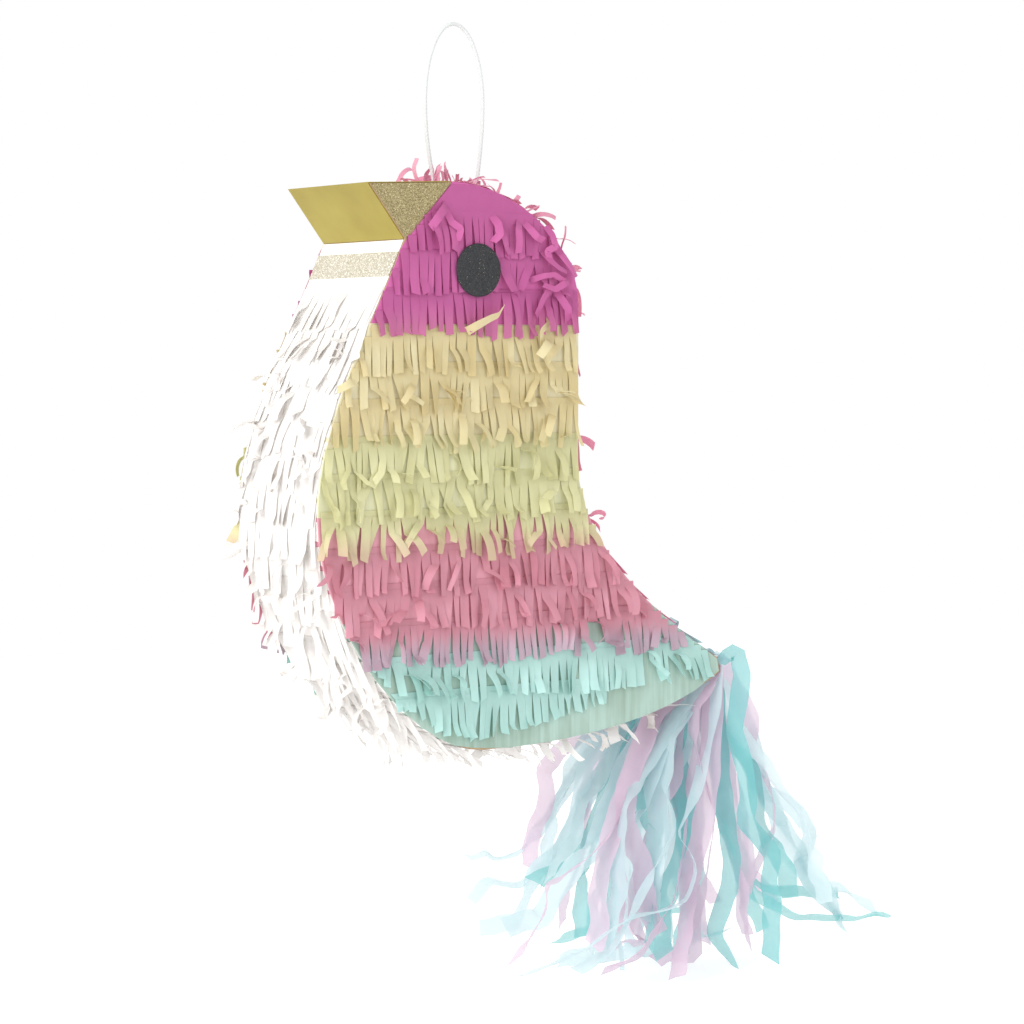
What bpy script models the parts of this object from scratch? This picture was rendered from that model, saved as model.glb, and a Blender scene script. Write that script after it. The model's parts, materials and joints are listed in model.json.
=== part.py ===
"""A bird-shaped hanging pinata: a flat cardboard shell covered in rows of tissue fringe.

Two side panels stand either side of a ring of cardboard bands. The bird faces -X, its symmetry
plane is y = 0 and +Z is up. The origin is the seat of the hanging loop, on the underside of its apex.
Pieces that rest on each other keep the small gap named GAP.
"""

import math

import bmesh
import bpy
from mathutils import Matrix, Vector

# Driving dimensions, in metres.
GAP = 0.0003
BOARD = 0.002
BODY_WIDTH = 0.100
CROWN_Z = -0.110

# Shell outline: corner points and Bezier handles, as (x, z) on the outer face.
BEAK_TIP = (-0.1015, -0.113)
BEAK_TOP_END = (-0.037, CROWN_Z)
NAPE = (0.0685, -0.190)
BACK_FOOT = (0.0685, -0.300)
TAIL_TOP = (0.195, -0.441)
TAIL_LOW = (0.197, -0.451)
BELLY_LOW = (-0.010, -0.491)
BREAST = (-0.142, -0.331)
NOTCH = (-0.074, -0.148)
HEAD_HANDLES = ((0.010, -0.109), (0.069, -0.145))
RUMP_HANDLES = ((0.0685, -0.350), (0.130, -0.405))
BELLY_HANDLES = ((0.150, -0.479), (0.080, -0.491))
BREAST_HANDLES = ((-0.065, -0.491), (-0.142, -0.405))
THROAT_HANDLES = ((-0.142, -0.270), (-0.104, -0.215))
CURVE_STEPS = 14

# Tissue and paper.
FRINGE = 0.001
FRINGE_LEAN = 0.055
ROW_COUNT = 14
ROW_PITCH = 0.0243
ROW_HEIGHT = 0.033
FIRST_ROW_FOOT = CROWN_Z - 0.055
ROW_MARGIN = 0.0015
ROW_BLANK_LENGTH = 0.5
ROW_REGION_DEPTH = 0.04
SHEET = 0.0006
BAND_FRINGE = 0.0014
BAND_FRINGE_WIDTH = 0.098
THROAT_STRIP_START = 0.010
THROAT_STRIP_LENGTH = 0.018
CHEST_FRINGE_START = 0.034
CROWN_FRINGE_START = 0.002
BELLY_FRINGE_START = 0.030
RUMP_FRINGE_MARGIN = 0.012

# Eye.
EYE_X = -0.018
EYE_Z = -0.168
EYE_RADIUS = 0.0178
EYE_THICKNESS = 0.0018
EYE_OFFSET = 0.0038

# Hanging cord.
CORD_RADIUS = 0.0014
CORD_SIDES = 8
LEG_X = 0.016
LOOP_HALF_WIDTH = 0.024
LOOP_WIDEST_Z = -0.052
APEX_FLAT = 0.003
LEG_STEPS = 8
ARCH_STEPS = 9
PIVOT_RISE = 0.0025
STUB_DROP = 0.0017
CORD_HOLE_RADIUS = 0.0023
FRINGE_HOLE_RADIUS = 0.005
HOLE_DEPTH = 0.04
KNOT_RADIUS = 0.0045
KNOT_DROP = 0.020
KNOT_SAG = 0.006
KNOT_SPREAD = 0.6
PLATE_HALF_LENGTH = 0.026
PLATE_WIDTH = 0.060

# Fill flap in the back.
FLAP_TOP_Z = -0.204
FLAP_FOOT_Z = -0.272
FLAP_WIDTH = 0.068
FLAP_SLIT = 0.0005
FLAP_FRINGE_INSET = 0.008

# Tail streamers.
HEADER_WIDTH = 0.096
STREAMER_COUNT = 7
STREAMER_PITCH = 0.014
STREAMER_PIVOT = (0.203, -0.453)
STREAMER_START = 0.006
STREAMER_ROOT_WIDTH = 0.006
STREAMER_WIDTH = 0.020
STREAMER_TAPER = 0.060
STREAMER_THICKNESS = 0.0008
STREAMER_SPLAY = 4.4
STREAMER_LEANS = (-6, 36, -20, 14, -33, 26, -28)
STREAMER_LENGTHS = (0.216, 0.262, 0.228, 0.222, 0.210, 0.236, 0.236)
STREAMER_CURL = 0.22
STREAMER_STEPS = 8
STREAMER_COLOURS = ("teal", "pale_blue", "lilac", "teal", "pale_blue", "lilac", "teal")

ROW_COLOURS = ("magenta",) * 3 + ("cream",) * 3 + ("lime",) * 3 + ("pink",) * 3 + ("mint",) * 2

# Principled settings: base colour, roughness, metallic.
FINISHES = {
    "cardboard": ((0.55, 0.38, 0.22), 0.85, 0.0),
    "magenta": ((0.60, 0.13, 0.38), 0.70, 0.0),
    "cream": ((0.84, 0.72, 0.44), 0.70, 0.0),
    "lime": ((0.76, 0.76, 0.40), 0.70, 0.0),
    "pink": ((0.76, 0.33, 0.42), 0.70, 0.0),
    "mint": ((0.40, 0.70, 0.62), 0.70, 0.0),
    "white": ((0.92, 0.91, 0.89), 0.70, 0.0),
    "rose": ((0.82, 0.36, 0.50), 0.70, 0.0),
    "gold": ((0.66, 0.50, 0.12), 0.35, 0.9),
    "glitter": ((0.50, 0.40, 0.16), 0.55, 0.6),
    "pale_glitter": ((0.74, 0.66, 0.46), 0.55, 0.3),
    "eye": ((0.03, 0.035, 0.04), 0.60, 0.1),
    "cord": ((0.86, 0.88, 0.86), 0.60, 0.0),
    "teal": ((0.20, 0.62, 0.58), 0.70, 0.0),
    "pale_blue": ((0.55, 0.78, 0.80), 0.70, 0.0),
    "lilac": ((0.66, 0.48, 0.62), 0.70, 0.0),
}


def clear_scene():
    for obj in list(bpy.data.objects):
        bpy.data.objects.remove(obj, do_unlink=True)


def collection(name):
    made = bpy.data.collections.new(name)
    bpy.context.scene.collection.children.link(made)
    return made


def material(name):
    colour, roughness, metallic = FINISHES[name]
    made = bpy.data.materials.get(name)
    if made is None:
        made = bpy.data.materials.new(name)
        made.use_nodes = True
        surface = made.node_tree.nodes["Principled BSDF"]
        surface.inputs["Base Color"].default_value = (*colour, 1.0)
        surface.inputs["Roughness"].default_value = roughness
        surface.inputs["Metallic"].default_value = metallic
        made.diffuse_color = (*colour, 1.0)
    return made


# Plane geometry: a path is a list of (x, z) points.


def bezier(start, handles, end, steps=CURVE_STEPS):
    """Points of a cubic Bezier from start up to, but not including, end."""
    first, second = handles
    points = []
    for step in range(steps):
        t = step / steps
        weights = ((1 - t) ** 3, 3 * t * (1 - t) ** 2, 3 * t * t * (1 - t), t**3)
        corners = (start, first, second, end)
        x = sum(w * p[0] for w, p in zip(weights, corners))
        z = sum(w * p[1] for w, p in zip(weights, corners))
        points.append((x, z))
    return points


def head_path():
    return bezier(BEAK_TOP_END, HEAD_HANDLES, NAPE) + [NAPE]


def rump_path():
    return bezier(BACK_FOOT, RUMP_HANDLES, TAIL_TOP) + [TAIL_TOP]


def belly_path():
    return bezier(TAIL_LOW, BELLY_HANDLES, BELLY_LOW) + [BELLY_LOW]


def chest_path():
    """From the lowest point of the belly up the breast to the notch under the beak."""
    lower = bezier(BELLY_LOW, BREAST_HANDLES, BREAST)
    upper = bezier(BREAST, THROAT_HANDLES, NOTCH)
    return lower + upper + [NOTCH]


def shell_outline():
    """The closed side view, clockwise from the beak tip with the bird facing left."""
    path = [BEAK_TIP] + head_path() + rump_path() + belly_path() + chest_path()[1:]
    return path


def tissue_outline():
    """The side view without the triangle of the beak."""
    return head_path() + rump_path() + belly_path() + chest_path()[1:]


def offset(path, distance, closed=False):
    """The path moved to its left by distance, with mitred corners. Left is outwards here."""
    count = len(path)
    moved = []
    for index, point in enumerate(path):
        before = Vector(path[index - 1]) if closed or index else None
        after = Vector(path[(index + 1) % count]) if closed or index < count - 1 else None
        here = Vector(point)
        sides = []
        if before is not None:
            sides.append((here - before).normalized())
        if after is not None:
            sides.append((after - here).normalized())
        normals = [Vector((-side.y, side.x)) for side in sides]
        middle = sum(normals, Vector((0.0, 0.0))).normalized()
        reach = distance / middle.dot(normals[0])
        moved.append(tuple(here + middle * reach))
    return moved


def length_of(path):
    return sum(math.dist(a, b) for a, b in zip(path, path[1:]))


def stretch(path, start, end):
    """The part of the path between two distances along it."""
    points = []
    travelled = 0.0
    for a, b in zip(path, path[1:]):
        step = math.dist(a, b)
        for mark in (start, end):
            if travelled < mark < travelled + step:
                share = (mark - travelled) / step
                points.append((a[0] + share * (b[0] - a[0]), a[1] + share * (b[1] - a[1])))
        travelled += step
        if start < travelled < end:
            points.append(b)
    if start <= 0.0:
        points.insert(0, path[0])
    return points


def between(path, low, high):
    """The closed outline of a strip that lies low to high above the path."""
    return offset(path, high) + offset(path, low)[::-1]


def height_on_head(x):
    """Height of the crown above the band at x, on the faceted head curve."""
    for a, b in zip(head_path(), head_path()[1:]):
        if a[0] <= x <= b[0]:
            return a[1] + (b[1] - a[1]) * (x - a[0]) / (b[0] - a[0])
    raise ValueError("x is not on the head")


# Solids.


def plate(name, outline, width, finish, y=0.0, group=None):
    """A flat outline in the XZ plane, given width along Y and centred on y."""
    curve = bpy.data.curves.new(name, "CURVE")
    curve.dimensions = "2D"
    curve.fill_mode = "BOTH"
    curve.extrude = width / 2
    spline = curve.splines.new("POLY")
    spline.points.add(len(outline) - 1)
    for point, (x, z) in zip(spline.points, outline):
        point.co = (x, z, 0.0, 1.0)
    spline.use_cyclic_u = True
    obj = bpy.data.objects.new(name, curve)
    obj.rotation_euler = (math.pi / 2, 0.0, 0.0)
    obj.location = (0.0, y, 0.0)
    curve.materials.append(material(finish))
    (group or PARTS).objects.link(obj)
    return obj


def meshed(obj):
    """The same solid as a mesh object, welded, so that it can be cut or joined."""
    bpy.context.view_layer.update()
    graph = bpy.context.evaluated_depsgraph_get()
    mesh = bpy.data.meshes.new_from_object(obj.evaluated_get(graph))
    shape = bmesh.new()
    shape.from_mesh(mesh)
    bmesh.ops.remove_doubles(shape, verts=shape.verts, dist=1e-6)
    shape.to_mesh(mesh)
    shape.free()
    name = obj.name
    place = obj.matrix_world.copy()
    home = obj.users_collection[0]
    bpy.data.objects.remove(obj, do_unlink=True)
    made = bpy.data.objects.new(name, mesh)
    home.objects.link(made)
    made.matrix_world = place
    return made


def cutter(name, outline, width, y=0.0):
    made = meshed(plate(name, outline, width, "cardboard", y, CUTTERS))
    return as_cutter(made)


def as_cutter(obj):
    obj.hide_render = True
    obj.display_type = "WIRE"
    return obj


def peg(name, radius, low, high, x, sides=16):
    """An upright round cutter."""
    mesh = bpy.data.meshes.new(name)
    shape = bmesh.new()
    bmesh.ops.create_cone(
        shape, cap_ends=True, segments=sides, radius1=radius, radius2=radius, depth=high - low
    )
    shape.to_mesh(mesh)
    shape.free()
    obj = bpy.data.objects.new(name, mesh)
    obj.location = (x, 0.0, (high + low) / 2)
    CUTTERS.objects.link(obj)
    return as_cutter(obj)


def combine(obj, other, operation):
    step = obj.modifiers.new(operation.title(), "BOOLEAN")
    step.operation = operation
    step.solver = "EXACT"
    step.object = other


def hinge_empty(name, place):
    empty = bpy.data.objects.new(name, None)
    empty.location = place
    PARTS.objects.link(empty)
    return empty


def parent(obj, empty):
    bpy.context.view_layer.update()
    obj.parent = empty
    obj.matrix_parent_inverse = empty.matrix_world.inverted()


# Sub-parts.


def side_panels():
    middle = BODY_WIDTH / 2 - BOARD / 2
    plate("left_side_panel", shell_outline(), BOARD, "cardboard", -middle)
    plate("right_side_panel", shell_outline(), BOARD, "cardboard", middle)


def band(name, path):
    width = BODY_WIDTH - 2 * BOARD - 2 * GAP
    return plate(name, between(path, -BOARD, 0.0), width, "cardboard")


def bands():
    """The ring of cardboard between the panels. Its pieces butt with a gap at each corner."""
    beak_tip_cut = 0.0018
    acute_corner = 0.0046
    blunt_corner = 0.0025
    crown = [BEAK_TIP] + head_path()
    covered = stretch(crown, beak_tip_cut, length_of(crown) - GAP)
    crown_band = meshed(band("crown_band", covered))
    cut_cord_holes(crown_band, CORD_HOLE_RADIUS)
    back_band()
    rump = rump_path()
    band("rump_band", stretch(rump, GAP, length_of(rump) - GAP))
    tail = [TAIL_TOP, TAIL_LOW]
    band("tail_end_band", stretch(tail, blunt_corner, length_of(tail) - blunt_corner))
    belly = belly_path()
    band("belly_band", stretch(belly, 0.0, length_of(belly) - GAP))
    chest = chest_path()
    band("chest_band", stretch(chest, GAP, length_of(chest) - GAP))
    front = [NOTCH, BEAK_TIP]
    band("beak_front_band", stretch(front, GAP, length_of(front) - acute_corner))


def back_band():
    path = [(NAPE[0], NAPE[1] - GAP), (BACK_FOOT[0], BACK_FOOT[1] + GAP)]
    board = meshed(band("back_band", path))
    low = FLAP_FOOT_Z
    high = FLAP_TOP_Z + FLAP_SLIT
    inner = NAPE[0] - 3 * BOARD
    outer = NAPE[0] + 3 * BOARD
    window = [(inner, high), (outer, high), (outer, low), (inner, low)]
    combine(board, cutter("flap_window", window, FLAP_WIDTH + 2 * FLAP_SLIT), "DIFFERENCE")


def fill_flap():
    """The door in the back, folding down and out on its lower edge."""
    fold = hinge_empty("flap_fold", (NAPE[0], 0.0, FLAP_FOOT_Z))
    path = [(NAPE[0], FLAP_TOP_Z), (NAPE[0], FLAP_FOOT_Z + FLAP_SLIT)]
    parent(plate("fill_flap", between(path, -BOARD, 0.0), FLAP_WIDTH, "cardboard"), fold)
    top = FLAP_TOP_Z - FLAP_SLIT
    foot = FLAP_FOOT_Z + FLAP_FRINGE_INSET
    path = [(NAPE[0], top), (NAPE[0], foot)]
    tuft = plate("flap_fringe", between(path, GAP, GAP + BAND_FRINGE), FLAP_WIDTH, "rose")
    parent(tuft, fold)


def cut_cord_holes(obj, radius):
    for side, x in (("front", -LEG_X), ("rear", LEG_X)):
        hole = peg(f"{obj.name}_{side}_hole", radius, CROWN_Z - HOLE_DEPTH, CROWN_Z + HOLE_DEPTH, x)
        combine(obj, hole, "DIFFERENCE")


def band_fringe(name, path, finish, start, end):
    """Tissue fringe round the outside of the bands, from start to end along the path."""
    covered = stretch(path, start, end)
    outline = between(covered, GAP, GAP + BAND_FRINGE)
    return plate(name, outline, BAND_FRINGE_WIDTH, finish)


def band_fringes():
    head = head_path() + [(NAPE[0], FLAP_TOP_Z + FLAP_FRINGE_INSET)]
    crown = meshed(band_fringe("crown_fringe", head, "rose", CROWN_FRINGE_START, length_of(head) - GAP))
    cut_cord_holes(crown, FRINGE_HOLE_RADIUS)
    rump = [(NAPE[0], FLAP_FOOT_Z - FLAP_FRINGE_INSET)] + rump_path()
    band_fringe("rump_fringe", rump, "rose", GAP, length_of(rump) - RUMP_FRINGE_MARGIN)
    belly = belly_path()
    band_fringe("belly_fringe", belly, "white", BELLY_FRINGE_START, length_of(belly) - GAP)
    chest = chest_path()
    top = length_of(chest) - CHEST_FRINGE_START
    band_fringe("chest_fringe", chest, "white", GAP, top)


def throat_strip():
    chest = chest_path()
    end = length_of(chest) - THROAT_STRIP_START
    covered = stretch(chest, end - THROAT_STRIP_LENGTH, end)
    outline = between(covered, GAP, GAP + SHEET)
    plate("throat_glitter_strip", outline, BAND_FRINGE_WIDTH, "pale_glitter")


def beak_papers():
    """Gold paper folded over the beak's front and top, and a glitter triangle on each side."""
    folded = [NOTCH, BEAK_TIP, BEAK_TOP_END]
    path = stretch(folded, GAP, length_of(folded) - GAP)
    plate("beak_gold_sheet", between(path, GAP, GAP + SHEET), BAND_FRINGE_WIDTH, "gold")
    triangle = offset([BEAK_TIP, BEAK_TOP_END, NOTCH], -GAP, closed=True)
    y = BODY_WIDTH / 2 + GAP + SHEET / 2
    plate("left_beak_glitter", triangle, SHEET, "glitter", -y)
    plate("right_beak_glitter", triangle, SHEET, "glitter", y)


def fringe_row(side, number, region):
    """One strip of tissue, leaning out over the strip below it and trimmed to the side view."""
    foot = FIRST_ROW_FOOT - number * ROW_PITCH
    top = foot + ROW_HEIGHT if number else CROWN_Z
    reach = math.tan(FRINGE_LEAN) * ROW_HEIGHT
    near = BODY_WIDTH / 2 + GAP
    section = [(near, top), (near + FRINGE, top), (near + FRINGE + reach, foot), (near + reach, foot)]
    label = "left" if side < 0 else "right"
    name = f"{label}_fringe_row_{number + 1:02d}"
    flat = plate(name, [(side * y, z) for y, z in section], ROW_BLANK_LENGTH, ROW_COLOURS[number])
    flat.rotation_euler = (math.pi / 2, 0.0, math.pi / 2)
    combine(meshed(flat), region, "INTERSECT")


def side_fringes():
    trimmed = offset(tissue_outline(), -ROW_MARGIN, closed=True)
    for side in (-1, 1):
        region = cutter("row_region", trimmed, ROW_REGION_DEPTH, side * BODY_WIDTH / 2)
        for number in range(ROW_COUNT):
            fringe_row(side, number, region)


def eyes():
    for label, side in (("left_eye", -1), ("right_eye", 1)):
        mesh = bpy.data.meshes.new(label)
        shape = bmesh.new()
        bmesh.ops.create_cone(
            shape,
            cap_ends=True,
            segments=40,
            radius1=EYE_RADIUS,
            radius2=EYE_RADIUS,
            depth=EYE_THICKNESS,
            matrix=Matrix.Rotation(math.pi / 2, 4, "X"),
        )
        shape.to_mesh(mesh)
        shape.free()
        mesh.materials.append(material("eye"))
        mesh.set_sharp_from_angle(angle=math.radians(40))
        obj = bpy.data.objects.new(label, mesh)
        y = BODY_WIDTH / 2 + EYE_OFFSET + EYE_THICKNESS / 2
        obj.location = (EYE_X, side * y, EYE_Z)
        PARTS.objects.link(obj)


def cord_profile():
    """An octagon whose flats face along and across the loop's plane."""
    curve = bpy.data.curves.new("cord_profile", "CURVE")
    curve.dimensions = "2D"
    spline = curve.splines.new("POLY")
    spline.points.add(CORD_SIDES - 1)
    corner = CORD_RADIUS / math.cos(math.pi / CORD_SIDES)
    for index, point in enumerate(spline.points):
        angle = -(index + 0.5) * 2 * math.pi / CORD_SIDES
        point.co = (corner * math.cos(angle), corner * math.sin(angle), 0.0, 1.0)
    spline.use_cyclic_u = True
    obj = bpy.data.objects.new("cord_profile", curve)
    CUTTERS.objects.link(obj)
    return as_cutter(obj)


def cord(name, path, profile):
    """A cord along a path in the y = 0 plane."""
    curve = bpy.data.curves.new(name, "CURVE")
    curve.dimensions = "3D"
    curve.twist_mode = "Z_UP"
    curve.bevel_mode = "OBJECT"
    curve.bevel_object = profile
    curve.use_fill_caps = True
    spline = curve.splines.new("POLY")
    spline.points.add(len(path) - 1)
    for point, (x, z) in zip(spline.points, path):
        point.co = (x, 0.0, z, 1.0)
    curve.materials.append(material("cord"))
    obj = bpy.data.objects.new(name, curve)
    PARTS.objects.link(obj)
    return obj


def pivot_height(x):
    """The loop flops sideways about the line just over the crown at both of its legs."""
    front = height_on_head(-LEG_X)
    rear = height_on_head(LEG_X)
    share = (x + LEG_X) / (2 * LEG_X)
    return front + (rear - front) * share + PIVOT_RISE


def loop_path():
    """Up the front leg, over the flat apex and down the rear leg."""
    apex = CORD_RADIUS
    half = []
    handles = ((LEG_X + 0.002, 0.012), (LOOP_HALF_WIDTH, 0.030))
    widest = (LOOP_HALF_WIDTH, LOOP_WIDEST_Z - CROWN_Z)
    low = bezier((LEG_X, 0.0), handles, widest, LEG_STEPS)
    for x, rise in low:
        half.append((x, rise + CROWN_Z))
    for step in range(ARCH_STEPS):
        angle = step / ARCH_STEPS * math.pi / 2
        x = APEX_FLAT + (LOOP_HALF_WIDTH - APEX_FLAT) * math.cos(angle)
        half.append((x, LOOP_WIDEST_Z + (apex - LOOP_WIDEST_Z) * math.sin(angle)))
    half.append((APEX_FLAT, apex))
    front = [(-x, z) for x, z in half]
    front[0] = (-LEG_X, pivot_height(-LEG_X))
    half[0] = (LEG_X, pivot_height(LEG_X))
    return front + half[::-1]


def hanging_cord():
    profile = cord_profile()
    middle = (pivot_height(-LEG_X) + pivot_height(LEG_X)) / 2
    pivot = hinge_empty("loop_pivot", (0.0, 0.0, middle))
    parent(cord("hanging_loop", loop_path(), profile), pivot)
    low = CROWN_Z - KNOT_DROP
    path = [(-LEG_X, pivot_height(-LEG_X) - STUB_DROP), (-LEG_X, low)]
    path += [(-LEG_X * KNOT_SPREAD, low - KNOT_SAG), (LEG_X * KNOT_SPREAD, low - KNOT_SAG)]
    path += [(LEG_X, low), (LEG_X, pivot_height(LEG_X) - STUB_DROP)]
    tied = meshed(cord("cord_knot", path, profile))
    mesh = bpy.data.meshes.new("knot_lump")
    shape = bmesh.new()
    bmesh.ops.create_icosphere(shape, subdivisions=2, radius=KNOT_RADIUS)
    shape.to_mesh(mesh)
    shape.free()
    lump = bpy.data.objects.new("knot_lump", mesh)
    lump.location = (0.0, 0.0, low - KNOT_SAG)
    CUTTERS.objects.link(lump)
    combine(tied, as_cutter(lump), "UNION")


def hanger_plate():
    """A second layer of board under the crown, so that the cord can't tear out."""
    head = head_path()
    along = 0.0
    for a, b in zip(head, head[1:]):
        if a[0] <= 0.0 <= b[0]:
            along += math.dist(a, b) * -a[0] / (b[0] - a[0])
            break
        along += math.dist(a, b)
    covered = stretch(head, along - PLATE_HALF_LENGTH, along + PLATE_HALF_LENGTH)
    outline = between(covered, -2 * BOARD - GAP, -BOARD - GAP)
    board = meshed(plate("hanger_plate", outline, PLATE_WIDTH, "cardboard"))
    cut_cord_holes(board, CORD_HOLE_RADIUS)


def streamer_header():
    """The uncut edge of the streamers' tissue, glued over the end of the tail."""
    path = [TAIL_TOP, TAIL_LOW]
    plate("streamer_header", between(path, GAP, GAP + FRINGE), HEADER_WIDTH, "teal")


def streamer_outline(lean, length):
    """A ribbon hanging from the pivot at a lean, widening from its gathered root and curling up."""
    steps = STREAMER_STEPS
    left = []
    right = []
    for step in range(steps + 1):
        along = STREAMER_START + (length - STREAMER_START) * step / steps
        share = along / length
        angle = math.radians(lean) * (1 + STREAMER_CURL * share * share)
        widening = min(1.0, along / STREAMER_TAPER)
        half = (STREAMER_ROOT_WIDTH + (STREAMER_WIDTH - STREAMER_ROOT_WIDTH) * widening) / 2
        x = along * math.sin(angle)
        z = -along * math.cos(angle)
        left.append((x - half * math.cos(angle), z - half * math.sin(angle)))
        right.append((x + half * math.cos(angle), z + half * math.sin(angle)))
    return left + right[::-1]


def streamers():
    for index in range(STREAMER_COUNT):
        y = (index - (STREAMER_COUNT - 1) / 2) * STREAMER_PITCH
        name = f"streamer_{index + 1}"
        outline = streamer_outline(STREAMER_LEANS[index], STREAMER_LENGTHS[index])
        ribbon = plate(name, outline, STREAMER_THICKNESS, STREAMER_COLOURS[index])
        ribbon.rotation_euler = (math.pi / 2 + y * STREAMER_SPLAY, 0.0, 0.0)
        ribbon.location = (STREAMER_PIVOT[0], y, STREAMER_PIVOT[1])


clear_scene()
PARTS = collection("bird_pinata")
CUTTERS = collection("cutters")
CUTTERS.hide_render = True
side_panels()
bands()
fill_flap()
band_fringes()
throat_strip()
beak_papers()
side_fringes()
eyes()
hanging_cord()
hanger_plate()
streamer_header()
streamers()
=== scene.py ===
"""Looks of the bird pinata: tissue fringe, sheets, glitter, cord and streamers on the CAD frame."""

import json
import math

import bmesh
import bpy
import numpy as np
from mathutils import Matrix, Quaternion, Vector


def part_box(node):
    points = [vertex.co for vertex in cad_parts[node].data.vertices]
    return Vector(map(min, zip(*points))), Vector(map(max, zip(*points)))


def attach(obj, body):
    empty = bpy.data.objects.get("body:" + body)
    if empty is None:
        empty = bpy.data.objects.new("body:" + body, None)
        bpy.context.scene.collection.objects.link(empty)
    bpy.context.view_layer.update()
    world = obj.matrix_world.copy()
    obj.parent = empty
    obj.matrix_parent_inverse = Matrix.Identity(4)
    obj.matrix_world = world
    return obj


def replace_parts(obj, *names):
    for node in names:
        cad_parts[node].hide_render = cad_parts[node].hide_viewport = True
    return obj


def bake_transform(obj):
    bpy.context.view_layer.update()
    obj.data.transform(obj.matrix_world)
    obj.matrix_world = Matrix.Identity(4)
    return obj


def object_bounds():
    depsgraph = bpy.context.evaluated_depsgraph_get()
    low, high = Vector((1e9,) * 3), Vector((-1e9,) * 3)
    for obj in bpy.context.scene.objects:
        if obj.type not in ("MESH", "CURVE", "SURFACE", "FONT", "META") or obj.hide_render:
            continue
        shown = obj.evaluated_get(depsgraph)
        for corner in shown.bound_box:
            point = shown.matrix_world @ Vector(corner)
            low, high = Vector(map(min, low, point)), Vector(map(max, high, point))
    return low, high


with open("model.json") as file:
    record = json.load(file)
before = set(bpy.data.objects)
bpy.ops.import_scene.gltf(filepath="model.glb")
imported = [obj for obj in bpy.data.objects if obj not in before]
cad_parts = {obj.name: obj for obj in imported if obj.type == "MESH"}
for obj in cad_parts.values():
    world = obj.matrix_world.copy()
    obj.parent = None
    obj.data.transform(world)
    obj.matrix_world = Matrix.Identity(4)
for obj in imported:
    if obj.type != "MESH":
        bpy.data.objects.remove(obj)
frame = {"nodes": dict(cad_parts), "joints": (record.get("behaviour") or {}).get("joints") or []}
CAD_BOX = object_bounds()

# Sizes in metres, as on the real object.
TISSUE = 0.00012
SHEET_LIFT = 0.00022
SHEET_WRAP = 0.0055
STRIP_WIDTH = 0.0072
STRIP_LENGTH = 0.029
STRIP_STEPS = 10
BAND_ROW_PITCH = 0.0225
RIBBON_STEPS = 56
CORD_RADIUS = 0.0014
BODY_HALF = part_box("left_side_panel")[0].y * -1
FRINGE_HALF = 0.0485
FRINGE_LIFT = 0.0009
EDGE_GAP = 0.0012
WRINKLE = 0.00008
# The share between the painted shade colour and the painted light colour on the glued, uncut tissue.
GLUED_TINT = 0.40
# Under this height the lower edge of a side can be bare.
BELLY_Z = -0.43
# The level of the floor, on which the longest ribbons rest.
FLOOR_Z = CAD_BOX[0].z - 0.001

DOWN = Vector((0.0, 0.0, -1.0))
SIDES = {"left": -1.0, "right": 1.0}
ROW_COUNT = 14
ROW_COLOURS = ("magenta",) * 3 + ("cream",) * 3 + ("lime",) * 3 + ("pink",) * 3 + ("mint",) * 2

# Each tissue: colour in shade, colour in light, and the colour of its sheet glued on board.
TISSUES = {
    "magenta": ((0.600, 0.135, 0.380), (0.740, 0.210, 0.495), (0.550, 0.122, 0.335)),
    "cream": ((0.770, 0.650, 0.340), (0.900, 0.850, 0.600), (0.620, 0.560, 0.370)),
    "lime": ((0.720, 0.700, 0.400), (0.890, 0.880, 0.600), (0.580, 0.580, 0.370)),
    "pink": ((0.700, 0.290, 0.370), (0.860, 0.480, 0.570), (0.610, 0.270, 0.330)),
    "mint": ((0.500, 0.760, 0.710), (0.680, 0.910, 0.880), (0.285, 0.390, 0.315)),
    "white": ((0.925, 0.895, 0.870), (0.965, 0.955, 0.940), (0.930, 0.910, 0.890)),
    "rose": ((0.780, 0.350, 0.480), (0.930, 0.560, 0.680), (0.760, 0.370, 0.460)),
    "teal": ((0.180, 0.530, 0.540), (0.380, 0.750, 0.730), (0.300, 0.600, 0.580)),
    "pale_blue": ((0.560, 0.740, 0.770), (0.770, 0.895, 0.915), (0.520, 0.700, 0.720)),
    "lilac": ((0.690, 0.500, 0.630), (0.880, 0.700, 0.805), (0.620, 0.450, 0.540)),
}

# How much of the colour below is painted into the last row of each colour as painted show-through, and the
# colour painted into the one over mint.
SHOW_THROUGH = {"magenta": 0.10, "cream": 0.25, "lime": 0.30, "pink": 0.58}
UNDER_MINT = (0.560, 0.590, 0.680)

# Shape of the shell, read from the frame.


def panel_loop():
    """The side view as a closed list of (x, z), with the outside on the left of its direction."""
    mesh = frame["nodes"]["left_side_panel"].data
    edges = {}
    for face in mesh.polygons:
        if face.normal.y > -0.9:
            continue
        keys = []
        for index in face.vertices:
            point = mesh.vertices[index].co
            keys.append((round(point.x, 6), round(point.z, 6)))
        for a, b in zip(keys, keys[1:] + keys[:1]):
            if (b, a) in edges:
                del edges[(b, a)]
            else:
                edges[(a, b)] = True
    follow = dict(edges.keys())
    loop = [min(follow)]
    while follow[loop[-1]] != loop[0]:
        loop.append(follow[loop[-1]])
    area = sum(a[0] * b[1] - b[0] * a[1] for a, b in zip(loop, loop[1:] + loop[:1]))
    if area > 0:
        loop.reverse()
    return loop


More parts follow.
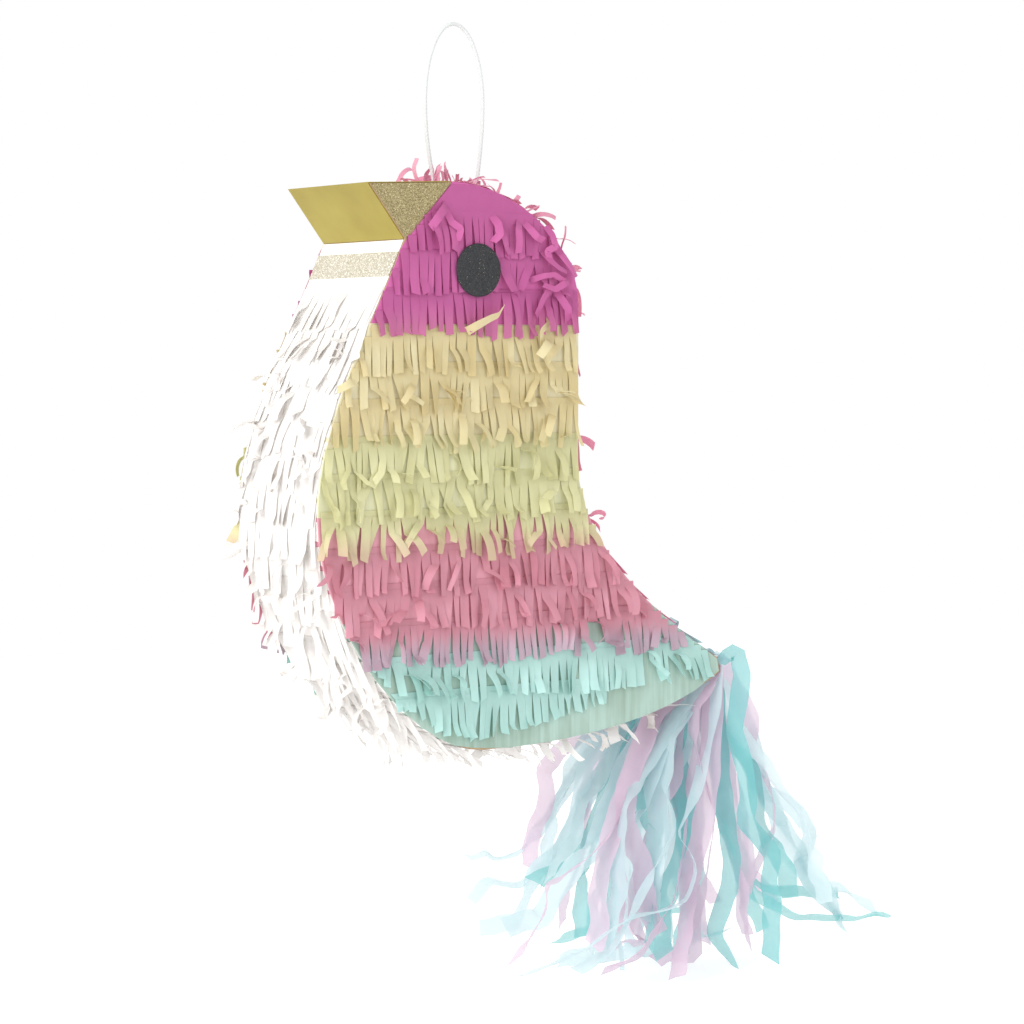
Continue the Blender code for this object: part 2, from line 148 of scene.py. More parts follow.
class Outline:
    """The shell's side view, walked from the notch under the beak over the head to the belly."""

    def __init__(self, loop, start):
        first = min(range(len(loop)), key=lambda i: math.dist(loop[i], start))
        loop = loop[first:] + loop[:first]
        self.points = np.array(loop + loop[:1])
        steps = np.diff(self.points, axis=0)
        self.lengths = np.hypot(steps[:, 0], steps[:, 1])
        self.marks = np.concatenate([[0.0], np.cumsum(self.lengths)])
        self.total = float(self.marks[-1])
        self.tangents = steps / self.lengths[:, None]

    def station(self, x, z):
        """Distance along the outline of its corner nearest to (x, z)."""
        away = np.hypot(self.points[:-1, 0] - x, self.points[:-1, 1] - z)
        return float(self.marks[int(np.argmin(away))])

    def at(self, mark):
        """Point, tangent and outward normal in 3-D, with tangents eased over the facets."""
        mark = min(max(mark, 0.0), self.total - 1e-7)
        index = int(np.searchsorted(self.marks, mark, side="right")) - 1
        share = (mark - self.marks[index]) / self.lengths[index]
        point = self.points[index] * (1 - share) + self.points[index + 1] * share
        tangent = self.tangents[index]
        other = index + 1 if share > 0.5 else index - 1
        if 0 <= other < len(self.tangents) and tangent @ self.tangents[other] > 0.9:
            tangent = tangent + self.tangents[other] * abs(share - 0.5)
            tangent = tangent / np.hypot(*tangent)
        along = Vector((tangent[0], 0.0, tangent[1]))
        out = Vector((-tangent[1], 0.0, tangent[0]))
        return Vector((point[0], 0.0, point[1])), along, out

    def clear(self, point, gap):
        """The point, moved so that it is at least gap outside the bands."""
        if abs(point.y) > BODY_HALF:
            return point
        here = np.array((point.x, point.z))
        starts = self.points[:-1]
        along = np.clip(np.sum((here - starts) * self.tangents, axis=1), 0, self.lengths)
        nearest = starts + self.tangents * along[:, None]
        away = here - nearest
        distance = np.hypot(away[:, 0], away[:, 1])
        index = int(np.argmin(distance))
        normal = np.array((-self.tangents[index][1], self.tangents[index][0]))
        height = float(away[index] @ normal)
        if height >= gap:
            return point
        moved = nearest[index] + normal * gap
        return Vector((moved[0], point.y, moved[1]))

    def reach(self, axis, value):
        """Lowest and highest x of the side view at height value (axis 1), or z at x = value (axis 0)."""
        other = 1 - axis
        places = []
        for a, b in zip(self.points, self.points[1:]):
            if (a[axis] - value) * (b[axis] - value) <= 0 and a[axis] != b[axis]:
                places.append(a[other] + (b[other] - a[other]) * (value - a[axis]) / (b[axis] - a[axis]))
        return min(places), max(places)


BEAK_LOW, BEAK_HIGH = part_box("beak_front_band")
GLITTER_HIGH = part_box("left_beak_glitter")[1]
FLAP_LOW, FLAP_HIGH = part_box("fill_flap")
RUMP_LOW, RUMP_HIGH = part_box("rump_band")
TAIL_END_LOW, TAIL_END_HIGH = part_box("tail_end_band")
NOTCH = (BEAK_HIGH.x, BEAK_LOW.z)
BEAK_END = (GLITTER_HIGH.x, GLITTER_HIGH.z)
TAIL_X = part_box("left_side_panel")[1].x
TAIL_MIDDLE_Z = (TAIL_END_LOW.z + TAIL_END_HIGH.z) / 2
SHELL = Outline(panel_loop(), NOTCH)
TAIL_TOP = SHELL.station(RUMP_HIGH.x, RUMP_LOW.z)
TAIL_LOW = SHELL.station(TAIL_X, TAIL_END_LOW.z)
CROWN_START = SHELL.station(*BEAK_END)


def tissue_span(z):
    """The span of the side's tissue at height z, which stops at the glitter of the beak."""
    low, high = SHELL.reach(1, z)
    if z > NOTCH[1]:
        share = (z - NOTCH[1]) / (BEAK_END[1] - NOTCH[1])
        low = NOTCH[0] + (BEAK_END[0] - NOTCH[0]) * share
    return low, high


# Meshes.


class Cloth:
    """Collects thin closed strips of tissue into one mesh, with a tint for each strip."""

    def __init__(self):
        self.points = []
        self.faces = []
        self.tints = []
        self.shows = None

    def strip(self, rows, tint):
        """rows: cross-sections, each a list of (point, normal). tint: one value, or one per row."""
        across = len(rows[0])
        base = len(self.points)
        for row in rows:
            for sign in (0.5, -0.5):
                for point, normal in row:
                    self.points.append(point + normal * (TISSUE * sign))
        levels = tint if isinstance(tint, list) else [tint] * len(rows)
        for level in levels:
            self.tints += [level] * (across * 2)
        for step in range(len(rows) - 1):
            here = base + step * across * 2
            there = here + across * 2
            for k in range(across - 1):
                self.faces.append((here + k, here + k + 1, there + k + 1, there + k))
                a = here + across + k
                b = there + across + k
                self.faces.append((a, b, b + 1, a + 1))
            self.faces.append((here, there, there + across, here + across))
            k = across - 1
            self.faces.append((here + k, here + across + k, there + across + k, there + k))
        last = base + (len(rows) - 1) * across * 2
        for k in range(across - 1):
            self.faces.append((base + k, base + across + k, base + across + k + 1, base + k + 1))
            self.faces.append((last + k, last + k + 1, last + across + k + 1, last + across + k))

    def finish(self, name, material):
        layers = {"tint": self.tints, "show": self.shows}
        return mesh_object(name, self.points, self.faces, material, 50, layers)


def new_object(name, data):
    obj = bpy.data.objects.new(name, data)
    bpy.context.scene.collection.objects.link(obj)
    return obj


def mesh_object(name, points, faces, material, sharp=180, layers=None):
    """A smooth closed mesh. sharp: the angle of its crisp edges. layers: a value for each point."""
    mesh = bpy.data.meshes.new(name)
    mesh.from_pydata([tuple(p) for p in points], [], faces)
    mesh.update()
    for label, values in (layers or {}).items():
        if values:
            mesh.attributes.new(label, "FLOAT", "POINT").data.foreach_set("value", values)
    mesh.polygons.foreach_set("use_smooth", [True] * len(mesh.polygons))
    mesh.set_sharp_from_angle(angle=math.radians(sharp))
    mesh.materials.append(material)
    shape = bmesh.new()
    shape.from_mesh(mesh)
    bmesh.ops.recalc_face_normals(shape, faces=shape.faces)
    shape.to_mesh(mesh)
    shape.free()
    return new_object(name, mesh)


def turned(vector, axis, angle):
    return Quaternion(axis, angle) @ vector


def place(obj, body, slot, *nodes):
    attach(obj, body)
    if nodes:
        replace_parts(obj, *nodes)
    return obj


# Materials.


def put(tree, socket, value):
    """Gives an input its value: another socket, a colour, or a number."""
    if isinstance(value, bpy.types.NodeSocket):
        tree.links.new(value, socket)
    elif isinstance(value, tuple) and len(value) < len(socket.default_value):
        socket.default_value = (*value, 1.0)
    else:
        socket.default_value = value


def add_node(tree, kind, inputs):
    made = tree.nodes.new("ShaderNode" + kind)
    for key, value in inputs.items():
        put(tree, made.inputs[key], value)
    return made


def new_material(name, settings):
    """A node material, with the given values for inputs of its surface."""
    made = bpy.data.materials.new(name)
    made.use_nodes = True
    tree = made.node_tree
    surface = tree.nodes["Principled BSDF"]
    for key, value in settings.items():
        put(tree, surface.inputs[key], value)
    return made, tree, surface


def noise(tree, scale, detail=3.0, stretch=(1.0, 1.0, 1.0)):
    where = add_node(tree, "TexCoord", {}).outputs["Object"]
    spot = add_node(tree, "Mapping", {"Vector": where, "Scale": stretch}).outputs["Vector"]
    return add_node(tree, "TexNoise", {"Vector": spot, "Scale": scale, "Detail": detail}).outputs["Fac"]


def math_node(tree, operation, a, b):
    made = add_node(tree, "Math", {0: a, 1: b})
    made.operation = operation
    return made.outputs["Value"]


def weighted(tree, *parts):
    """The sum of sockets, each times its weight."""
    total = None
    for socket, weight in parts:
        part = socket if weight == 1.0 else math_node(tree, "MULTIPLY", socket, weight)
        total = math_node(tree, "ADD", total, part) if total else part
    return total


def mixed(tree, share, a, b):
    """A colour between a and b, each a colour or a socket."""
    made = tree.nodes.new("ShaderNodeMix")
    made.data_type = "RGBA"
    for index, value in ((0, share), (6, a), (7, b)):
        put(tree, made.inputs[index], value)
    return made.outputs[2]


def bump(tree, height, strength, distance, surface):
    made = add_node(tree, "Bump", {"Height": height, "Strength": strength, "Distance": distance})
    put(tree, surface.inputs["Normal"], made.outputs["Normal"])


def spread(tree, value, low, high):
    """value stretched so that low becomes 0 and high becomes 1, and held there."""
    return add_node(tree, "MapRange", {"Value": value, "From Min": low, "From Max": high}).outputs["Result"]


def attribute(tree, name):
    made = tree.nodes.new("ShaderNodeAttribute")
    made.attribute_name = name
    return made.outputs["Fac"]


def tissue_material(colour, under=None, see_through=0.0, glow=0.38):
    """Thin crepe tissue: soft, matt, a little translucent, each strip painted its own share between its
    colour in painted shade and in painted light.
    """
    name = f"{colour}_tissue" + (f"_over_{under}" if under else "")
    settings = {"Roughness": 0.62, "Specular IOR Level": 0.28, "Sheen Weight": 0.12, "Sheen Roughness": 0.45}
    made, tree, surface = new_material(name, settings)
    share = weighted(tree, (attribute(tree, "tint"), 0.75), (noise(tree, 90.0, 2.0), 0.35))
    # The base colour mixes the tissue's painted shade colour and painted light colour, by each strip's tint
    # and a few clouds.
    base = mixed(tree, math_node(tree, "SUBTRACT", share, 0.08), *TISSUES[colour][:2])
    # Painted show-through: the tissue below in its painted shade colour, or the listed colour over mint, is
    # mixed into the last row of a colour.
    if under:
        below = UNDER_MINT if under == "mint" else TISSUES[under][0]
        show = math_node(tree, "MULTIPLY", attribute(tree, "show"), SHOW_THROUGH[colour])
        base = mixed(tree, show, base, below)
    put(tree, surface.inputs["Base Color"], base)
    crepe = noise(tree, 900.0, 3.0, (1.0, 1.0, 0.25))
    ripples = noise(tree, 160.0, 2.0)
    bump(tree, weighted(tree, (crepe, 0.35), (ripples, 1.0)), 0.45, 0.0006, surface)
    through = add_node(tree, "BsdfTranslucent", {"Color": base}).outputs["BSDF"]
    look = add_node(tree, "MixShader", {0: glow, 1: surface.outputs["BSDF"], 2: through}).outputs["Shader"]
    if see_through:
        back = add_node(tree, "NewGeometry", {}).outputs["Backfacing"]
        clear = add_node(tree, "BsdfTransparent", {}).outputs["BSDF"]
        share = math_node(tree, "MAXIMUM", back, see_through)
        look = add_node(tree, "MixShader", {0: share, 1: look, 2: clear}).outputs["Shader"]
    put(tree, tree.nodes["Material Output"].inputs["Surface"], look)
    return made


def sheet_material(colour):
    """Tissue glued flat on board: the board's grain and a few wrinkles show through."""
    made, tree, surface = new_material(f"{colour}_sheet", {"Roughness": 0.75, "Specular IOR Level": 0.2})
    _, pale, base = TISSUES[colour]
    grain = noise(tree, 260.0, 4.0, (1.0, 1.0, 0.06))
    clouds = noise(tree, 28.0, 3.0)
    share = weighted(tree, (spread(tree, clouds, 0.35, 0.75), 0.22), (spread(tree, grain, 0.3, 0.75), 0.26))
    put(tree, surface.inputs["Base Color"], mixed(tree, share, base, pale))
    bump(tree, weighted(tree, (grain, 1.0), (clouds, 2.0)), 0.35, 0.0005, surface)
    return made


def cardboard_material():
    made, tree, surface = new_material("cardboard", {"Roughness": 0.85})
    fibres = noise(tree, 420.0, 5.0, (1.0, 1.0, 0.2))
    share = spread(tree, weighted(tree, (fibres, 0.6), (noise(tree, 30.0), 0.4)), 0.3, 0.7)
    put(tree, surface.inputs["Base Color"], mixed(tree, share, (0.36, 0.235, 0.130), (0.56, 0.40, 0.245)))
    bump(tree, fibres, 0.4, 0.0004, surface)
    return made


def glitter_material(name, base, flake, sparkle, cell, metal, shine):
    """Grains of glitter: cells with their own brightness, tilt and shine, the shiniest also with a painted
    glint in their colour.
    """
    made, tree, surface = new_material(name, {"Metallic": metal})
    where = add_node(tree, "TexCoord", {}).outputs["Object"]
    cells = add_node(tree, "TexVoronoi", {"Vector": where, "Scale": 1.0 / cell}).outputs["Color"]
    split = add_node(tree, "SeparateColor", {"Color": cells}).outputs
    tone = mixed(tree, spread(tree, split["Red"], 0.1, 0.9), base, flake)
    bright = spread(tree, split["Green"], 1.0 - shine, 1.0 - shine * 0.6)
    # The brightest cells take the sparkle colour, partly their own lighter colour and partly a painted glint,
    # and a lower roughness.
    put(tree, surface.inputs["Base Color"], mixed(tree, bright, tone, sparkle))
    rough = math_node(tree, "SUBTRACT", 0.75, math_node(tree, "MULTIPLY", bright, 0.4))
    put(tree, surface.inputs["Roughness"], rough)
    bump(tree, split["Blue"], 0.8, cell * 0.35, surface)
    return made


def gold_paper_material():
    made, tree, surface = new_material("gold_paper", {"Metallic": 0.55, "Roughness": 0.42})
    fine = noise(tree, 700.0)
    broad = noise(tree, 22.0)
    colour = mixed(tree, spread(tree, broad, 0.3, 0.7), (0.345, 0.272, 0.046), (0.425, 0.345, 0.066))
    put(tree, surface.inputs["Base Color"], colour)
    bump(tree, weighted(tree, (fine, 0.3), (broad, 3.0)), 0.35, 0.0004, surface)
    return made


def cord_material():
    made, tree, surface = new_material("white_cord", {"Roughness": 0.7, "Sheen Weight": 0.3})
    fibres = noise(tree, 2200.0)
    put(tree, surface.inputs["Base Color"], mixed(tree, fibres, (0.58, 0.61, 0.60), (0.74, 0.76, 0.755)))
    bump(tree, fibres, 0.3, 0.0002, surface)
    return made


MATERIALS = {}


def finish_of(maker, *key):
    """The material that maker makes from key, made once."""
    if (maker, key) not in MATERIALS:
        MATERIALS[maker, key] = maker(*key)
    return MATERIALS[maker, key]


# Tissue strips.


def moods(rng, mess):
    """How a strip bends at each step: (bend out, turn sideways, twist), in radians."""
    steps = STRIP_STEPS
    mess = min(mess, 0.95)
    bend = rng.normal(0.0, 0.018, steps)
    yaw = rng.normal(0.0, 0.014, steps)
    twist = rng.normal(0.0, 0.022, steps)
    lift = rng.uniform(0.05, 0.13) + 0.10 * mess
    bend[0] += lift
    bend[2:7] -= lift / 5 * rng.uniform(0.9, 1.2)
    yaw[0] += rng.normal(0.0, 0.035 + 0.13 * mess)
    twist[2:] += rng.normal(0.0, 0.025)
    chance = rng.uniform()
    if chance < 0.03 + 0.24 * mess:
        at = rng.integers(3, steps - 2)
        bend[at] += rng.uniform(0.7, 1.9)
        yaw[at] += rng.choice((-1, 1)) * rng.uniform(0.3, 1.2)
        bend[at + 1 :] -= rng.uniform(0.05, 0.25)
    elif chance < 0.04 + 0.34 * mess:
        at = rng.integers(1, 4)
        bend[at : at + 2] += rng.uniform(0.5, 1.1)
        yaw[at] += rng.normal(0.0, 0.7)
        bend[at + 2 :] -= rng.uniform(0.15, 0.40)
        twist[at:] += rng.normal(0.0, 0.12)
    elif chance < 0.12 + 0.45 * mess:
        start = rng.integers(5, 8)
        bend[start:] += rng.uniform(0.10, 0.40)
        twist[start:] += rng.normal(0.0, 0.08)
    elif chance < 0.30 + 0.45 * mess:
        twist[2:] += rng.choice((-1, 1)) * rng.uniform(0.05, 0.13)
    return bend, yaw, twist


def grow(start, down, out, length, mood, pull, keep_clear):
    """Centre points with their side and normal along a strip, from its root to its foot."""
    tangent = down.copy()
    normal = out.copy()
    point = start.copy()
    step = length / STRIP_STEPS
    frames = []
    for index in range(STRIP_STEPS + 1):
        side = tangent.cross(normal).normalized()
        frames.append((keep_clear(point, index / STRIP_STEPS), side, normal.copy()))
        if index == STRIP_STEPS:
            break
        bend, yaw, twist = (part[index] for part in mood)
        tangent = turned(tangent, side, bend)
        normal = turned(normal, side, bend)
        tangent = turned(tangent, normal, yaw)
        normal = turned(normal, tangent, twist)
        tangent = (tangent + DOWN * pull).normalized()
        normal = (normal - tangent * normal.dot(tangent)).normalized()
        point = point + tangent * step
    return frames


def joined(mood, uncut):
    """The mood of a strip whose first steps, above its slits, still lie flat in the sheet."""
    parts = []
    for part in mood:
        part = part.copy()
        part[uncut] += part[:uncut].sum()
        part[:uncut] = 0.0
        parts.append(part)
    return tuple(parts)


def add_strip(cloth, rng, frames, width, tint, taper, uncut=0):
    """Sweeps three points across the strip: full width down to its slits, narrower at the foot."""
    trough = rng.normal(0.0, 0.00030)
    slant = rng.normal(0.0, 0.0007)
    rows = []
    last = len(frames) - 1
    tints = []
    for index, (point, side, normal) in enumerate(frames):
        free = max(0.0, (index - uncut) / (last - uncut))
        tints.append(GLUED_TINT + (tint - GLUED_TINT) * min(1.0, free * 2.5))
        half = width / 2 * (1 - taper * free**0.6)
        depth = trough * min(1.0, free * 3)
        row = []
        for share in (-1.0, 0.0, 1.0):
            place_at = point + side * (half * share) + normal * (depth * (1 - abs(share)))
            tilt = (normal + side * (share * depth / half)).normalized()
            if index == last:
                place_at = place_at + side.cross(normal) * (-slant * share)
            row.append((place_at, tilt))
        rows.append(row)
    cloth.strip(rows, tints)


GROUPS = (0.34, 0.28, 0.22, 0.16)
WIDE_GROUPS = (0.16, 0.24, 0.30, 0.30)


def strips_across(rng, first, last, mess_at, groups=GROUPS, slits=0, wide=1.0):
    """Cuts the width from first to last into strips, in groups that hang together."""
    spot = first
    left = 0
    while spot < last - 0.003:
        if left == 0:
            left = int(rng.choice((1, 2, 3, 4), p=groups))
            mess = mess_at(spot)
            group = moods(rng, mess)
            tint = rng.normal(0.45, 0.24)
            high = int(rng.choice((0, 1, 2, 3), p=(0.3, 0.3, 0.25, 0.15))) + slits
            spread_out = rng.normal(0.0, 0.03 + 0.05 * mess)
        uncut = min(max(high + int(rng.integers(-1, 2)), 0), 6)
        width = min(STRIP_WIDTH * wide * rng.uniform(0.62, 1.14), last - spot)
        own = moods(rng, mess)
        mix = 0.25 + 0.5 * mess * rng.uniform()
        mood = tuple(g * (1 - mix) + o * mix for g, o in zip(group, own))
        if rng.uniform() < 0.10 + 0.35 * mess:
            mood = own
        mood[1][0] += spread_out
        shade = float(np.clip(tint + rng.normal(0.0, 0.12), 0.0, 1.0))
        taper = rng.uniform(0.05, 0.26) + (rng.uniform(0.10, 0.30) if rng.uniform() < 0.45 else 0.0)
        yield spot + width / 2, width, joined(mood, uncut), shade, taper, uncut
        spot += width
        left -= 1


# Rows on the sides.

# Places where the fringe is most ruffled: x, z, reach and strength.
RUFFLED = (
    (0.052, -0.180, 0.026, 0.95),
    (0.050, -0.250, 0.035, 0.85),
    (-0.115, -0.330, 0.035, 0.95),
    (-0.070, -0.285, 0.030, 0.6),
    (-0.125, -0.352, 0.030, 0.9),
    (-0.075, -0.355, 0.028, 0.7),
    (-0.020, -0.350, 0.030, 0.9),
    (0.045, -0.350, 0.030, 0.9),
    (-0.105, -0.250, 0.020, 0.5),
    (0.150, -0.425, 0.030, 0.6),
    (-0.080, -0.420, 0.025, 0.6),
    (0.075, -0.425, 0.022, 0.6),
    (0.000, -0.190, 0.020, 0.4),
    (-0.010, -0.452, 0.020, 0.7),
    (-0.090, -0.440, 0.020, 0.7),
    (0.100, -0.400, 0.025, 0.4),
)


def ruffle(x, z):
    total = 0.16
    for cx, cz, reach, strength in RUFFLED:
        total += strength * math.exp(-((x - cx) ** 2 + (z - cz) ** 2) / (2 * reach**2))
    return min(total, 0.95)


EYE_LOW, EYE_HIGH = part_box("left_eye")
EYE_MIDDLE = (EYE_LOW + EYE_HIGH) / 2
EYE_RADIUS = (EYE_HIGH.x - EYE_LOW.x) / 2
# The bare board under the last rows: x, and how far over the lower edge they end there.
BARE_MARGIN = ((-0.045, 0.002, 0.054, 0.122, 0.150, 0.175), (0.003, 0.009, 0.016, 0.020, 0.012, 0.004))
# How far before the tail's end the last two rows stop, and the shortest strip of the last one.
BARE_TAIL = 0.010
SHORTEST = 0.013
# The first rows hang this much higher than their boxes in the frame.
ROW_LIFT = {0: 0.007, 1: 0.005, 2: 0.002}
# The height over which the painted show-through of the colour below fades in.
SHOW_FADE = 0.013


def bare_margin(x):
    """How far over the lower edge of the side its last rows of fringe end, at x."""
    return float(np.interp(x, *BARE_MARGIN))


def on_tissue(x, z):
    low, high = tissue_span(z)
    return low < x - 0.001 and x + 0.001 < high


def side_row(side, number):
    """One strip of fringe on a side: its glued edge and the strips cut below it."""
    sign = SIDES[side]
    rng = np.random.default_rng(700 + 31 * number + (0 if sign < 0 else 5000))
    low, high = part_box(f"{side}_fringe_row_{number + 1:02d}")
    foot = low.z + ROW_LIFT.get(number, 0.0)
    root = foot + STRIP_LENGTH
    top = min(foot + 0.033, high.z) if number else high.z
    out = Vector((0.0, sign, 0.0))
    plane = sign * (BODY_HALF + FRINGE_LIFT)
    colour = ROW_COLOURS[number]
    below = ROW_COLOURS[min(number + 1, ROW_COUNT - 1)]
    under = below if below != colour else None
    cloth = Cloth()
    lowest = foot + 0.010
    spans = [tissue_span(root - (root - lowest) * k / 8) for k in range(9)]
    left = min(span[0] for span in spans)
    right = max(span[1] for span in spans)
    if number >= ROW_COUNT - 2:
        right = min(right, TAIL_X - BARE_TAIL)
    while number == ROW_COUNT - 1 and root - SHELL.reach(0, right)[0] - bare_margin(right) < SHORTEST:
        right -= 0.001
    add_glued_edge(cloth, rng, root, top, plane, out, right)
    sway = rng.uniform(0, 6.28)

    def mess_at(x):
        return ruffle(x, foot + 0.012)

    def keep_clear(point, share):
        least = 0.0002 + 0.0018 * share
        most = 0.0125
        if math.hypot(point.x - EYE_MIDDLE.x, point.z - EYE_MIDDLE.z) < EYE_RADIUS + 0.006:
            most = 0.0022
        reach = min(max((point.y - plane) * sign, least), most)
        return Vector((point.x, plane + sign * reach, point.z))

    groups = WIDE_GROUPS if colour == "mint" else GROUPS
    extra = 0.0075 if number == ROW_COUNT - 1 else 0.0
    ragged = 0.0016 if under else 0.0007
    slits = 1 if number in (0, 12, 13) else 0
    cuts = strips_across(rng, left + EDGE_GAP, right - EDGE_GAP, mess_at, groups, slits)
    for middle, width, mood, tint, taper, uncut in cuts:
        length = STRIP_LENGTH + extra + 0.0018 * math.sin(middle * 55 + sway) + rng.normal(0.0, ragged)
        start_z = root
        while start_z > lowest and not on_tissue(middle, start_z):
            start_z -= 0.001
        length -= root - start_z
        bottom = SHELL.reach(0, middle)[0]
        bare = bare_margin(middle) if number >= ROW_COUNT - 2 else -0.010
        length = max(min(length, start_z - bottom - bare), 0.008)
        if number == 0:
            calm = 0.3 if ruffle(middle, foot + 0.020) < 0.36 else 1.25
            mood = tuple(part * calm for part in mood)
        mood[1][uncut] -= sign * 0.35 * min(max((middle - 0.11) / 0.06, 0.0), 1.0)
        frames = grow(Vector((middle, plane, start_z)), DOWN, out, length, mood, 0.05, keep_clear)
        add_strip(cloth, rng, frames, width, tint, taper, uncut)
    # Where the painted show-through of the colour below begins, and how it fades in.
    show_from = foot + (0.016 if colour == "pink" else 0.012)
    stray = 0.0022 * math.sin(sway)
    cloth.shows = []
    for point in cloth.points:
        depth = show_from - point.z + stray * math.sin(point.x * 900)
        cloth.shows.append(float(np.clip(depth / SHOW_FADE + 0.5, 0, 1)))
    obj = cloth.finish(f"{side}_row_{number + 1:02d}_{colour}", finish_of(tissue_material, colour, under))
    return place(obj, "shell", f"{colour}_tissue", f"{side}_fringe_row_{number + 1:02d}")


def add_glued_edge(cloth, rng, low, high, plane, out, limit):
    """The uncut part of a row, trimmed to the side view."""
    levels = max(2, int((high - low) / 0.004) + 1)
    across = 9
    rows = []
    for level in range(levels):
        z = high + (low - high) * level / (levels - 1)
        left, right = tissue_span(min(z, BEAK_END[1] - 0.0008))
        left += EDGE_GAP
        right = min(right - EDGE_GAP, limit)
        row = []
        for k in range(across):
            x = left + (right - left) * k / (across - 1)
            lift = out * (WRINKLE * rng.normal())
            row.append((Vector((x, plane, z)) + lift, out))
        rows.append(row)
    cloth.strip(rows, GLUED_TINT)


# Rows on the bands.


FULL_WIDTH = ((-FRINGE_HALF, FRINGE_HALF),)


def band_row(name, rng, mark, forward, colour, mess, body="shell", spans=FULL_WIDTH, pull=0.05,
             length=STRIP_LENGTH, avoid=None, wide=1.0):
    """Fringe glued across a band at a distance mark along the outline, over each span of y."""
    point, along, out = SHELL.at(mark)
    down = along * forward
    cloth = Cloth()
    across = Vector((0.0, 1.0, 0.0))

    def keep_clear(where, share):
        return SHELL.clear(where, FRINGE_LIFT + 0.0014 * share)

    for first, last in spans:
        rows = []
        for back in (0.004, 0.002, 0.0):
            here, _, up = SHELL.at(mark - forward * back)
            row = []
            for k in range(9):
                y = first + (last - first) * k / 8
                row.append((here + across * y + up * (FRINGE_LIFT + WRINKLE * rng.normal()), up))
            rows.append(row)
        cloth.strip(rows, GLUED_TINT)
        cuts = strips_across(rng, first, last, lambda y: mess, wide=wide)
        for middle, width, mood, tint, taper, uncut in cuts:
            start = point + across * middle + out * FRINGE_LIFT
            if avoid and avoid(start):
                continue
            frames = grow(start, down, out, length * rng.uniform(0.92, 1.06), mood, pull, keep_clear)
            add_strip(cloth, rng, frames, width, tint, taper, uncut)
    obj = cloth.finish(name, finish_of(tissue_material, colour))
    return place(obj, body, f"{colour}_tissue")


def tufts(name, seed, colour, spots, count, spread_by, length, width, curl):
    """Loose curled strips that stand up around glued spots (mark, y) of a band."""
    rng = np.random.default_rng(seed)
    cloth = Cloth()

    def keep_clear(where, share):
        return SHELL.clear(where, 0.0007)

    for mark, y in spots:
        for _ in range(count):
            here = mark + rng.normal(0.0, spread_by)
            point, along, out = SHELL.at(here)
            offset = float(np.clip(y + rng.normal(0.0, spread_by * 1.4), -FRINGE_HALF, FRINGE_HALF))
            heading = rng.uniform(0, 2 * math.pi)
            flat = along * math.cos(heading) + Vector((0.0, math.sin(heading), 0.0))
            stand = rng.uniform(0.2, 1.1)
            tangent = (flat * math.cos(stand) + out * math.sin(stand)).normalized()
            normal = (out - tangent * out.dot(tangent)).normalized()
            turn = rng.normal(curl, 0.08)
            bend = np.full(STRIP_STEPS, turn) + rng.normal(0.0, 0.06, STRIP_STEPS)
            yaw = rng.normal(0.0, 0.10, STRIP_STEPS)
            twist = rng.normal(0.0, 0.12, STRIP_STEPS)
            start = point + Vector((0.0, offset, 0.0)) + out * 0.0008
            own = length * rng.uniform(0.6, 1.2)
            frames = grow(start, tangent, normal, own, (bend, yaw, twist), 0.0, keep_clear)
            wide = width * rng.uniform(0.5, 1.2)
            add_strip(cloth, rng, frames, wide, float(rng.uniform(0.2, 1.0)), rng.uniform(0.0, 0.5))
    obj = cloth.finish(name, finish_of(tissue_material, colour))
    return place(obj, "shell", f"{colour}_tissue")


# Sheets glued on the board under the fringe.

# Sheets of a side: colour, and the heights where each begins and ends.
SHEET_STEPS = (
    ("magenta", -0.100, -0.204),
    ("cream", -0.204, -0.285),
    ("lime", -0.285, -0.330),
    ("pink", -0.330, -0.400),
    ("mint", -0.400, -0.500),
)
# Stretches of the lower edge, from x to x, where the sheet stops short of it, and by how much.
BARE_EDGES = ((-0.030, 0.004), (0.186, 0.200))
BARE_EDGE = 0.0011


